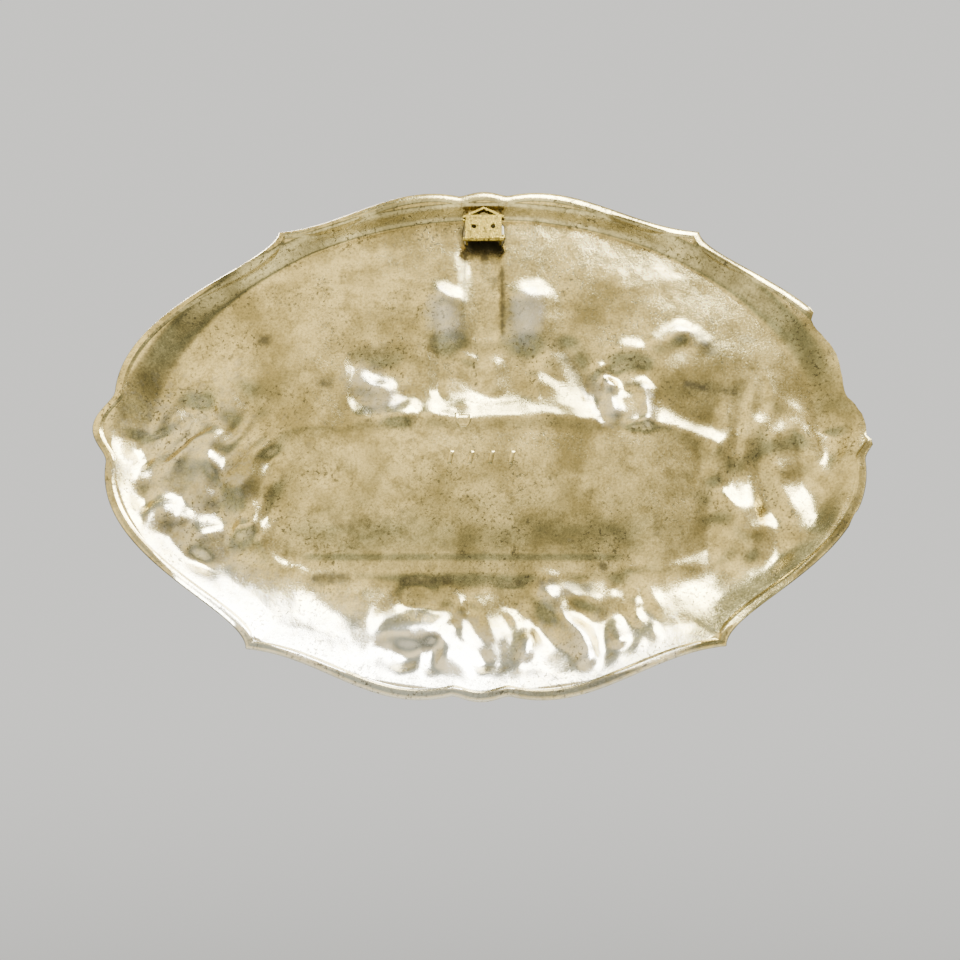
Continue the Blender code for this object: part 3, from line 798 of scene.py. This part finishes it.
@dataclass
class CastPlaque:
    """The casting: hollow back, picture side and the edge that joins them, as one closed mesh."""

    relief: Relief = field(default_factory=Relief)
    core_left: float = -73.0
    core_right: float = 72.0
    core_foot: float = -60.0
    core_top: float = 60.0
    picture_rings: int = 40
    wall_rings: int = 12
    shelf_rings: int = 5
    lip_rings: int = 6
    ring_apart: float = 0.08
    set_in: float = 2.0
    mount_height: float = 87.8

    def place(self, points: Array, depths: Array) -> Array:
        """Turn places and depths into metres in the frame of the bracket."""
        places = [points[..., 0], self.set_in - depths, points[..., 1] - self.mount_height]
        return np.stack(places, axis=-1) * MM

    def core(self) -> Array:
        """A plain grid of points over the middle of the picture, one column after another.

        Returns:
            Points of the grid, columns first.
        """
        steps = self.relief.rim.steps
        across = np.linspace(self.core_left, self.core_right, 2 * (steps[0] + steps[1]) + 1)
        up = np.linspace(self.core_foot, self.core_top, 2 * (steps[2] + steps[3]) + 1)
        return np.stack(np.meshgrid(across, up, indexing="ij"), axis=-1)

    def rings(self, edge: Array) -> list[Array]:
        """Rings from the core's edge to the foot, the shelf and the broken outline.

        Args:
            edge: the core's edge, in the outline's order.

        Returns:
            One array of points for each ring.
        """
        rim = self.relief.rim
        outline = rim.outline()
        across, up = outline[:, 0], outline[:, 1]
        radius = np.hypot(across, up)
        foot = rim.oval(rim.foot_above, rim.rings_below, across, up)
        shelf = rim.oval(rim.shelf_above, rim.shelf_below, across, up)
        shares = np.arange(1, self.picture_rings + 1) / self.picture_rings
        found = [edge + (outline * (foot / radius)[:, None] - edge) * share for share in shares]
        wall_shares = np.arange(1, self.wall_rings + 1) / self.wall_rings
        insets = [radius - foot + (foot - shelf) * share for share in wall_shares]
        step = rim.lip_width + rim.step_width
        shelf_shares = np.arange(1, self.shelf_rings + 1) / (self.shelf_rings + 1)
        insets += [radius - shelf + (step - radius + shelf) * share for share in shelf_shares]
        insets += [np.maximum(step, 0.0 * radius), rim.lip_width + 0.5 * rim.step_width + 0.0 * radius]
        lip_shares = np.linspace(1.0, 0.0, self.lip_rings + 1)
        insets += [rim.lip_width * share + 0.0 * radius for share in lip_shares]
        kept = [np.maximum(insets[-1], rim.lost(outline))]
        for inset in insets[-2::-1]:
            kept.append(np.maximum(inset, kept[-1] + self.ring_apart))
        return found + [outline * (1.0 - inset / radius)[:, None] for inset in reversed(kept)]

    def side(self, sheet: SheetOfCasting, depth_at: Callable[[Array, Array], Array], side: Side) -> Array:
        """Lay out one side: a plain grid in the middle and rings around it.

        Args:
            sheet: where vertices and quads are gathered.
            depth_at: depth of this side below the plane of the rim.
            side: which side this is.

        Returns:
            The numbers of the outermost ring of vertices.
        """
        turned = side is Side.FRONT
        grid = self.core()
        inner = edge_of(sheet.cover(self.place(grid, depth_at(grid[..., 0], grid[..., 1])), side, turned))
        for ring in self.rings(edge_of(grid)):
            outer = sheet.add(self.place(ring, depth_at(ring[:, 0], ring[:, 1])))
            sheet.join(inner, outer, side, turned)
            inner = outer
        return inner

    def build(self) -> bpy.types.Object:
        """Build the closed mesh and give its object.

        Returns:
            The casting's object, with its rubbed and stained attributes.
        """
        sheet = SheetOfCasting()
        relief = self.relief
        back = self.side(sheet, relief.back, Side.BACK)
        hidden_from = sheet.count
        front = self.side(sheet, relief.front, Side.FRONT)
        sheet.join(back, front, Side.BREAK, False)
        mesh = sheet.mesh("cast_plaque_surface")
        place = np.concatenate(sheet.points) / MM
        across, up = place[:, 0], place[:, 2] + self.mount_height
        on_back = np.arange(sheet.count) < hidden_from
        built, folds = relief.picture(across, up, 1.0)
        # Paler places: on the back painted highlights on the listed patches and where the folds swell
        # inwards; on the front the proud parts of the building, rubbed pale
        rubbed_and_highlight = sum(patch.height(across, up) for patch in PAINTED_HIGHLIGHTS) + np.clip(-folds / 3.0, 0.0, 0.5)
        rubbed_and_highlight = np.where(on_back, rubbed_and_highlight, 0.8 * ramp(built - relief.sky_depth, 2.0, 6.5))
        # Darker places: on the back the listed stains and painted shade; on the front painted shade in the
        # sunk window openings
        sunk = sum(row.opening(across, up, 0.3) for row in WINDOWS)
        stained_and_shaded = np.where(on_back, sum(spot.height(across, up) for spot in STAINS_AND_SHADE), 0.9 * sunk)
        for name, values in (("rubbed_and_highlight", rubbed_and_highlight), ("stained_and_shaded", stained_and_shaded)):
            mesh.attributes.new(name, "FLOAT", "POINT").data.foreach_set("value", values.astype(np.float32))
        piece = bpy.data.objects.new("cast_plaque_surface", mesh)
        bpy.context.collection.objects.link(piece)
        return piece


@dataclass(frozen=True)
class Stroke:
    """A plain raised stroke on the back: two ends, half its width and its height."""

    start: Point
    end: Point
    half_width: float = 0.95
    height: float = 0.5

    def raised(self, along: Array, aside: Array) -> Array:
        """Height over the casting; along runs 0 to 1, aside -1 to 1."""
        return self.height * (1.0 - aside**2) ** 0.5 * (1.0 - (2.0 * along - 1.0) ** 8)

    def places(self, along: Array, aside: Array) -> Array:
        """Points of the stroke on the plane of the picture.

        Args:
            along: 0 at the start to 1 at the end.
            aside: -1 to 1 across the stroke.

        Returns:
            One point for each pair.
        """
        start, run = np.array(self.start), np.subtract(self.end, self.start)
        beside = np.array((run[1], -run[0])) / math.hypot(*run)
        return start + along[..., None] * run + (aside * self.half_width)[..., None] * beside


@dataclass(frozen=True)
class HalfRound:
    """A blank raised tab, straight above and round below, with a slightly dished face."""

    middle: Point
    radius: float
    tall: float
    height: float = 0.3

    def raised(self, along: Array, aside: Array) -> Array:
        """Height over the casting: a low rim round a dished face."""
        from_edge = np.minimum(1.0 - np.abs(aside), np.minimum(along, 1.0 - along) * 2.0)
        return self.height * (ramp(from_edge, 0.0, 0.12) - 0.6 * ramp(from_edge, 0.14, 0.5))

    def places(self, along: Array, aside: Array) -> Array:
        """Points of the tab; along runs from its straight top down to its round foot."""
        wide = self.radius * np.sqrt(1.0 - np.clip(0.97 * along, 0.0, 1.0) ** 2.4)
        return np.stack([self.middle[0] + aside * wide, self.middle[1] + self.tall * (0.5 - along)], axis=-1)


@dataclass
class CastMarks:
    """Four plain slanting strokes and a blank half-round tab, cast on the back under the keep."""

    plaque: CastPlaque
    first: Point = (13.0, -12.6)
    apart: float = 7.9
    slant: float = 1.1
    tall: float = 5.6
    tab: HalfRound = HalfRound((7.6, 5.8), 3.6, 6.4)
    sunk: float = 0.35
    clear: float = 0.05
    count: int = 4
    steps: tuple[int, int] = (23, 15)

    def build(self) -> bpy.types.Object:
        """Build the marks as one mesh of closed pads that sit in the casting's skin.

        Returns:
            The marks' object.
        """
        sheet = SheetOfCasting()
        right, foot = self.first
        rights = [right - self.apart * number for number in range(self.count)]
        shapes = [Stroke((x, foot), (x - self.slant, foot + self.tall)) for x in rights]
        for shape in shapes + [self.tab]:
            shares = np.linspace(0.0, 1.0, self.steps[0]), np.linspace(-1.0, 1.0, self.steps[1])
            along, aside = np.meshgrid(*shares, indexing="ij")
            places = shape.places(along, aside)
            skin = self.plaque.relief.back(places[..., 0], places[..., 1])
            top = self.plaque.place(places, skin - shape.raised(along, aside) + self.clear)
            under = self.plaque.place(places, skin + self.sunk)
            turned = isinstance(shape, HalfRound)
            upper = sheet.cover(top, Side.BACK, turned)
            lower = sheet.cover(under, Side.BACK, not turned)
            sheet.join(edge_of(upper), edge_of(lower), Side.BACK, turned)
        piece = bpy.data.objects.new("cast_marks", sheet.mesh("cast_marks"))
        bpy.context.collection.objects.link(piece)
        return piece


@dataclass(frozen=True)
class Lump:
    """A rounded, slightly uneven lump of metal: its middle and its three radii in millimetres."""

    middle: tuple[float, float, float]
    radii: tuple[float, float, float]
    seed: int = 0

    def add_to(self, sheet: SheetOfCasting) -> None:
        """Add the lump to a mesh as a closed ball of quads.

        Args:
            sheet: where vertices and quads are gathered.
        """
        turns, falls = np.linspace(0.0, 2.0 * math.pi, 25)[:-1], np.linspace(0.02, math.pi - 0.02, 13)
        around, up = np.meshgrid(turns, falls, indexing="ij")
        ball = np.stack([np.sin(up) * np.cos(around), np.sin(up) * np.sin(around), np.cos(up)], axis=-1)
        uneven = 1.0 + 0.12 * np.sin(3.0 * around + self.seed) * np.sin(up)
        uneven = uneven + 0.08 * np.cos(5.0 * up + self.seed)
        points = (np.array(self.middle) + ball * uneven[..., None] * np.array(self.radii)) * MM
        rings = [sheet.add(points[:, row]) for row in range(points.shape[1])]
        for upper, lower in zip(rings, rings[1:]):
            sheet.join(upper, lower, Side.BACK, True)
        half = len(rings[0]) // 2
        for ring, turned in ((rings[0], True), (rings[-1], False)):
            strip = [[ring[i], ring[i + 1], ring[-i - 2], ring[-i - 1]] for i in range(half - 1)]
            sheet.take(np.array(strip), Side.BACK, turned)


@dataclass
class BracketTrim:
    """Solder along the bracket's legs, and the curled ear and bead at the ends of its sheet."""

    leg_at: float = 6.95
    leg_foot: float = -5.7
    solder: tuple[float, float, float] = (1.5, 0.8, 5.2)
    ear: Lump = Lump((-8.2, -0.75, -4.7), (0.75, 0.7, 1.25), 2)
    bead: Lump = Lump((8.1, -0.8, 3.2), (0.65, 0.6, 0.7), 5)

    def build(self) -> tuple[bpy.types.Object, bpy.types.Object]:
        """Build the solder and the sheet's ends as two meshes.

        Returns:
            The solder's object and the ends' object.
        """
        solder, ends = SheetOfCasting(), SheetOfCasting()
        for side in (-1.0, 1.0):
            middle = (side * (self.leg_at + 0.5), self.leg_foot + 0.1, 0.4 * side)
            Lump(middle, self.solder, int(3 + side)).add_to(solder)
        for lump in (self.ear, self.bead):
            lump.add_to(ends)
        pieces = []
        for sheet, name in ((solder, "hanger_solder"), (ends, "hanger_sheet_ends")):
            piece = bpy.data.objects.new(name, sheet.mesh(name))
            bpy.context.collection.objects.link(piece)
            pieces.append(piece)
        return pieces[0], pieces[1]


def linear(colour: str) -> tuple[float, float, float, float]:
    """Turn an sRGB hex colour into linear light.

    Args:
        colour: six hex digits after a #.

    Returns:
        Red, green, blue and 1.
    """
    parts = [int(colour[i:i + 2], 16) / 255.0 for i in (1, 3, 5)]
    return (*[c / 12.92 if c <= 0.04045 else ((c + 0.055) / 1.055) ** 2.4 for c in parts], 1.0)


def add_node(tree: Tree, kind: str, settings: dict | None = None,
             inputs: dict | None = None) -> bpy.types.Node:
    """Add one node with its settings, values and links.

    Args:
        tree: the material's node tree.
        kind: the node's type name.
        settings: attributes to set on the node.
        inputs: input name or number to a value, or to the output socket that feeds it.

    Returns:
        The node.
    """
    node = tree.nodes.new(kind)
    for name, value in (settings or {}).items():
        setattr(node, name, value)
    for name, value in (inputs or {}).items():
        if isinstance(value, Socket):
            tree.links.new(value, node.inputs[name])
        else:
            node.inputs[name].default_value = value
    return node


class Finish:
    """Small node-tree steps that every finish shares."""

    @staticmethod
    def noise(tree: Tree, place: Socket, size_mm: float,
              detail: float) -> Socket:
        """A noise pattern of a real size."""
        node = add_node(tree, "ShaderNodeTexNoise", inputs={
            "Vector": place, "Scale": 1.0 / (size_mm * MM), "Detail": detail, "Roughness": 0.6})
        return node.outputs["Fac"]

    @staticmethod
    def between(tree: Tree, value: Socket, low: float, high: float,
                start: float = 0.0, end: float = 1.0) -> Socket:
        """Carry a value from low and high to start and end, held beyond them."""
        node = add_node(tree, "ShaderNodeMapRange", inputs={
            "Value": value, "From Min": low, "From Max": high, "To Min": start, "To Max": end})
        return node.outputs["Result"]

    @staticmethod
    def math(tree: Tree, operation: str, first: Socket,
             second: Socket | float = 0.0) -> Socket:
        """One sum or product of two values."""
        node = add_node(tree, "ShaderNodeMath", {"operation": operation}, {0: first, 1: second})
        return node.outputs["Value"]

    @staticmethod
    def blend(tree: Tree, share: Socket, first: Socket | tuple,
              second: Socket | tuple) -> Socket:
        """Blend two colours."""
        node = add_node(tree, "ShaderNodeMix", {"data_type": "RGBA"}, {0: share, 6: first, 7: second})
        return node.outputs[2]

    def stretched(self, tree: Tree, place: Socket, stretch: Sequence[float],
                  turn: float, size_mm: float) -> Socket:
        """Noise drawn out along one direction, as scratches are; turn is in degrees about y."""
        turned = add_node(tree, "ShaderNodeMapping", inputs={
            "Vector": place, "Rotation": (0.0, math.radians(turn), 0.0), "Scale": tuple(stretch)})
        return self.noise(tree, turned.outputs["Vector"], size_mm, 2.0)

    def surface(self, name: str) -> tuple[bpy.types.Material, Tree, bpy.types.Node, Socket]:
        """A new metal material: the material, its tree, its shader and object coordinates.

        Args:
            name: the material's name.

        Returns:
            The material, its tree, its shader and the socket of object coordinates.
        """
        material = bpy.data.materials.new(name)
        material.use_nodes = True
        tree = material.node_tree
        shader = tree.nodes["Principled BSDF"]
        shader.inputs["Metallic"].default_value = 1.0
        return material, tree, shader, add_node(tree, "ShaderNodeTexCoord").outputs["Object"]

    def emboss(self, tree: Tree, shader: bpy.types.Node, height: Socket,
               depth_mm: float) -> None:
        """Feed a height to the shader's normal."""
        bump = add_node(tree, "ShaderNodeBump", inputs={
            "Strength": 1.0, "Distance": depth_mm * MM, "Height": height})
        tree.links.new(bump.outputs["Normal"], shader.inputs["Normal"])


@dataclass(frozen=True)
class CastBrass(Finish):
    """Cast brass: a tarnished skin in clouds, pitted and stained, with painted highlights and painted shade.

    The mesh's attribute of rubbed places and painted highlights turns it pale, its attribute of stains and
    painted shade turns it dark; their edges are broken up by noise.
    """

    name: str
    clean: str
    tarnish: str
    rubbed_and_highlight: str
    stain_and_shade: str
    roughness: float
    grain_mm: float = 0.7
    grain_height: float = 0.05
    pits: float = 1.0
    cloud_mm: float = 24.0
    patch_mm: float = 7.2
    blotch_mm: float = 3.0
    freckle_mm: float = 0.9
    pit_mm: float = 1.3
    crowd_mm: float = 17.0
    crack: tuple[float, float, float] | None = None

    def mask(self, tree: Tree, name: str, breakup: Socket,
             low: float = 0.15, high: float = 0.95) -> Socket:
        """An attribute of the mesh, its edge broken up by noise.

        Args:
            tree: the material's node tree.
            name: the attribute.
            breakup: noise that breaks up the edge.
            low: value that gives 0.
            high: value that gives 1.

        Returns:
            The share, 0 to 1.
        """
        drawn = add_node(tree, "ShaderNodeAttribute", {"attribute_name": name}).outputs["Fac"]
        rough = self.math(tree, "ADD", drawn, self.between(tree, breakup, 0.3, 0.7, -0.3, 0.3))
        return self.between(tree, rough, low, high)

    def cracked(self, tree: Tree, place: Socket,
                broken: Socket) -> Socket:
        """A thin upright crack, wandering and open only here and there.

        Args:
            tree: the material's node tree.
            place: object coordinates.
            broken: noise that closes the crack here and there.

        Returns:
            The share, 1 in the crack.
        """
        across, foot, top = self.crack
        axes = add_node(tree, "ShaderNodeSeparateXYZ", inputs={"Vector": place}).outputs
        wander = self.between(tree, self.noise(tree, place, 6.0, 2.0), 0.3, 0.7, -1.1 * MM, 1.1 * MM)
        aside = self.math(tree, "SUBTRACT", axes["X"], across * MM)
        away = self.math(tree, "ABSOLUTE", self.math(tree, "ADD", aside, wander))
        line = self.between(tree, away, 0.25 * MM, 0.6 * MM, 1.0, 0.0)
        tall = self.math(tree, "MULTIPLY", self.between(tree, axes["Z"], foot * MM, (foot + 2.0) * MM),
                         self.between(tree, axes["Z"], (top - 2.0) * MM, top * MM, 1.0, 0.0))
        crack = self.math(tree, "MULTIPLY", line, tall)
        return self.math(tree, "MULTIPLY", crack, self.between(tree, broken, 0.45, 0.55))

    def material(self) -> bpy.types.Material:
        """Build the material: colour in clouds, rubbed and stained places, pits and a fine grain.

        Returns:
            The material.
        """
        material, tree, shader, place = self.surface(self.name)
        cloud = self.noise(tree, place, self.cloud_mm, 6.0)
        patches = self.noise(tree, place, self.patch_mm, 5.0)
        grain = self.noise(tree, place, self.grain_mm, 3.0)
        blotch = self.noise(tree, place, self.blotch_mm, 4.0)
        clouded = self.between(tree, cloud, 0.40, 0.62)
        colour = self.blend(tree, clouded, linear(self.clean), linear(self.tarnish))
        patched = self.between(tree, patches, 0.47, 0.66, 0.0, 0.75)
        colour = self.blend(tree, patched, colour, linear(self.tarnish))
        freckle = self.between(tree, self.noise(tree, place, self.freckle_mm, 4.0), 0.42, 0.66, 0.0, 0.34)
        colour = self.blend(tree, freckle, colour, linear(self.stain_and_shade))
        # Rubbed places and painted highlights turn pale
        rubbed_and_highlight = self.mask(tree, "rubbed_and_highlight", blotch, 0.2, 1.5)
        colour = self.blend(tree, rubbed_and_highlight, colour, linear(self.rubbed_and_highlight))
        pitted = self.between(tree, self.noise(tree, place, self.pit_mm, 2.0), 0.555, 0.65)
        crowded = self.between(tree, self.noise(tree, place, self.crowd_mm, 3.0), 0.38, 0.60)
        pitted = self.math(tree, "MULTIPLY", self.math(tree, "MULTIPLY", pitted, crowded), self.pits)
        if self.crack:
            crack = self.cracked(tree, place, self.noise(tree, place, 1.6, 1.0))
            pitted = self.math(tree, "MAXIMUM", pitted, crack)
        # Stains and painted shade, with the pits, darken the colour and dull the gloss
        stained_and_shaded = self.mask(tree, "stained_and_shaded", blotch)
        dull_and_shaded = self.math(tree, "MAXIMUM", pitted, stained_and_shaded)
        colour = self.blend(tree, self.math(tree, "MULTIPLY", dull_and_shaded, 0.8), colour, linear(self.stain_and_shade))
        tree.links.new(colour, shader.inputs["Base Color"])
        gloss = self.between(tree, grain, 0.3, 0.7, self.roughness - 0.07, self.roughness + 0.09)
        gloss = self.math(tree, "ADD", gloss, self.math(tree, "MULTIPLY", dull_and_shaded, 0.15))
        tree.links.new(gloss, shader.inputs["Roughness"])
        rough = self.math(tree, "ADD", grain, self.math(tree, "MULTIPLY", blotch, 1.6))
        rough = self.math(tree, "SUBTRACT", rough, self.math(tree, "MULTIPLY", pitted, 0.6))
        self.emboss(tree, shader, rough, self.grain_height)
        return material


@dataclass(frozen=True)
class SheetBrass(Finish):
    """Rolled sheet brass: yellow, scratched two ways, browned in spots."""

    name: str
    bright: str
    browned: str
    roughness: float
    scratch_mm: float = 0.35

    def material(self) -> bpy.types.Material:
        """Build the material: yellow sheet with dark spots and crossing scratches.

        Returns:
            The material.
        """
        material, tree, shader, place = self.surface(self.name)
        long_ones = self.stretched(tree, place, (1.0, 1.0, 0.08), 38.0, self.scratch_mm)
        short_ones = self.stretched(tree, place, (0.15, 1.0, 1.0), -12.0, self.scratch_mm)
        scratched = self.math(tree, "MAXIMUM", self.between(tree, long_ones, 0.60, 0.68),
                              self.between(tree, short_ones, 0.63, 0.70))
        spots = self.between(tree, self.noise(tree, place, 1.5, 4.0), 0.46, 0.66)
        colour = self.blend(tree, spots, linear(self.bright), linear(self.browned))
        colour = self.blend(tree, self.math(tree, "MULTIPLY", scratched, 0.7), colour, linear(self.browned))
        tree.links.new(colour, shader.inputs["Base Color"])
        tree.links.new(self.between(tree, spots, 0.0, 1.0, self.roughness, self.roughness + 0.2),
                       shader.inputs["Roughness"])
        rough = self.math(tree, "SUBTRACT", self.noise(tree, place, 2.5, 3.0), scratched)
        self.emboss(tree, shader, rough, 0.06)
        return material


@dataclass(frozen=True)
class Studio:
    """The floor, the lights, the world and the camera."""

    floor_level: float = -1.6
    lens: float = 36.9
    camera_place: tuple[float, float, float] = (-0.008379, 0.351065, -0.223858)
    camera_forward: tuple[float, float, float] = (0.02470547, -0.95044542, 0.30990828)
    camera_up: tuple[float, float, float] = (-0.00161368, 0.30996458, 0.95074673)
    target: tuple[float, float, float] = (0.0, -0.008, -0.088)
    floor_radius: float = 3.4
    floor_colour: str = "#D0CFCB"
    room_low: str = "#959A98"
    room_high: str = "#FFF1D2"
    air_low: str = "#55544F"
    air_high: str = "#C2C1BD"
    air_strength: float = 1.8
    room_strengths: tuple[float, float] = (1.2, 2.4)

    def build_floor(self) -> None:
        """A plain pale floor well below the hanging plaque."""
        turns = np.linspace(0.0, 2.0 * math.pi, 97)[:-1]
        across, deep = self.floor_radius * np.cos(turns), self.floor_radius * np.sin(turns)
        edge = np.stack([across, deep, self.floor_level + 0.0 * turns], axis=1)
        mesh = bpy.data.meshes.new("floor")
        mesh.from_pydata(edge, [], [tuple(range(len(edge)))])
        floor = bpy.data.objects.new("floor", mesh)
        bpy.context.collection.objects.link(floor)
        paint = bpy.data.materials.new("pale_floor_paint")
        paint.use_nodes = True
        shader = paint.node_tree.nodes["Principled BSDF"]
        shader.inputs["Base Color"].default_value = linear(self.floor_colour)
        shader.inputs["Roughness"].default_value = 0.9
        mesh.materials.append(paint)

    def add_light(self, name: str, bearing: float, height: float, away: float, size: tuple[float, float],
                  power: float, colour: str) -> None:
        """A rectangular soft light that faces the plaque.

        Args:
            name: the light's name.
            bearing: degrees from +y towards +x, seen from above.
            height: degrees above the level of the plaque's middle.
            away: distance in metres.
            size: width and height in metres.
            power: watts.
            colour: sRGB hex.
        """
        light = bpy.data.lights.new(name, "AREA")
        light.energy, light.color, light.shape = power, linear(colour)[:3], "RECTANGLE"
        light.size, light.size_y = size
        lamp = bpy.data.objects.new(name, light)
        flat, turn = math.cos(math.radians(height)), math.radians(bearing)
        direction = Vector((math.sin(turn) * flat, math.cos(turn) * flat, math.sin(math.radians(height))))
        lamp.location = Vector(self.target) + direction * away
        lamp.rotation_euler = direction.to_track_quat("Z", "Y").to_euler()
        bpy.context.collection.objects.link(lamp)

    @staticmethod
    def fade(tree: Tree, value: Socket, low: float, high: float, start: float = 0.0,
             end: float = 1.0) -> Socket:
        """Carry a value along an S curve, from start at low to end at high."""
        node = add_node(tree, "ShaderNodeMapRange", {"interpolation_type": "SMOOTHSTEP"}, {
            "Value": value, "From Min": low, "From Max": high, "To Min": start, "To Max": end})
        return node.outputs["Result"]

    def build_world(self) -> None:
        """Pale air behind the plaque's picture side, turning to a dim room on the wall side."""
        world = bpy.data.worlds.new("studio_air")
        world.use_nodes = True
        tree = world.node_tree
        place = add_node(tree, "ShaderNodeTexCoord").outputs["Generated"]
        axes = add_node(tree, "ShaderNodeSeparateXYZ", inputs={"Vector": place}).outputs
        wall_side = self.fade(tree, axes["Y"], -0.3, 0.3)
        above_floor = self.fade(tree, axes["Z"], -0.30, 0.40)
        below_roof = self.fade(tree, axes["Z"], 0.62, 0.84, 1.0, 0.0)
        high = Finish.math(tree, "MULTIPLY", above_floor, below_roof)
        room = Finish.blend(tree, high, linear(self.room_low), linear(self.room_high))
        lit = self.fade(tree, axes["Z"], -0.6, 0.1)
        wall = Finish.blend(tree, lit, linear(self.air_low), linear(self.air_high))
        sideways = self.fade(tree, axes["X"], -0.35, 0.25, *self.room_strengths)
        strength = add_node(tree, "ShaderNodeMix", inputs={0: wall_side, 2: self.air_strength, 3: sideways})
        ground = tree.nodes["Background"]
        tree.links.new(Finish.blend(tree, wall_side, wall, room), ground.inputs["Color"])
        tree.links.new(strength.outputs[0], ground.inputs["Strength"])
        bpy.context.scene.world = world

    def build_camera(self) -> None:
        """The camera, low on the wall side and looking up at the hollow back."""
        data = bpy.data.cameras.new("camera")
        data.lens, data.sensor_width, data.clip_start = self.lens, 36.0, 0.01
        camera = bpy.data.objects.new("camera", data)
        forward, up = Vector(self.camera_forward), Vector(self.camera_up)
        right = forward.cross(up).normalized()
        turn = Matrix((right, right.cross(forward), -forward)).transposed()
        camera.matrix_world = Matrix.LocRotScale(Vector(self.camera_place), turn.to_quaternion(), None)
        bpy.context.collection.objects.link(camera)
        bpy.context.scene.camera = camera

    def build(self) -> None:
        """Build the whole studio."""
        self.build_floor()
        self.build_world()
        self.add_light("key", -48.0, 57.0, 1.6, (1.6, 1.05), 215.0, "#F2F5FF")
        self.add_light("front_key", 140.0, 48.0, 1.2, (0.5, 0.5), 26.0, "#FFF6E6")
        self.build_camera()


def main() -> None:
    """Build the pieces, dress them and report each one."""
    logging.basicConfig(level=logging.INFO, format="%(name)s: %(message)s")
    casting = CastPlaque()
    plaque = casting.build()
    # The fourth colour of each cast finish is the pale of rubbed places and painted highlights, the fifth
    # the dark of stains, pits and painted shade
    back = CastBrass("sand_cast_brass_back", "#E2D08C", "#978A58", "#D0CAB2", "#403C2C", 0.19,
                     grain_height=0.03, crack=(3.0, -67.5, -43.5))
    front = CastBrass("burnished_cast_brass_front", "#D2B876", "#9C8348", "#E0C98C", "#5E4E2A", 0.24,
                      pits=0.3)
    broken = CastBrass("broken_brass_edge", "#D9CCA4", "#B5A67A", "#E6DCBC", "#6E6343", 0.36,
                       grain_mm=0.9, grain_height=0.12)
    sheet = SheetBrass("scratched_sheet_brass", "#B49E46", "#3A3012", 0.27)
    solder = CastBrass("old_solder", "#BDB7A0", "#8F8768", "#D8D4C4", "#57503C", 0.34)
    for finish in (back, front, broken):
        plaque.data.materials.append(finish.material())
    marks = CastMarks(casting).build()
    marks.data.materials.append(plaque.data.materials[0])
    joints, ends = BracketTrim().build()
    joints.data.materials.append(solder.material())
    bracket = bpy.data.objects["hanger_bracket"]
    bracket.material_slots[0].material = sheet.material()
    ends.data.materials.append(bracket.material_slots[0].material)
    slots = ("cast_brass", "cast_brass", "sheet_brass", "sheet_brass")
    for piece, slot in zip((plaque, marks, joints, ends), slots):
        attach(piece, "root")
        LOG.info("%s: %d faces", piece.name, len(piece.data.polygons))
    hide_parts("cast_plaque")
    Studio().build()
    LOG.info("studio ready")


if __name__ == "__main__":
    main()
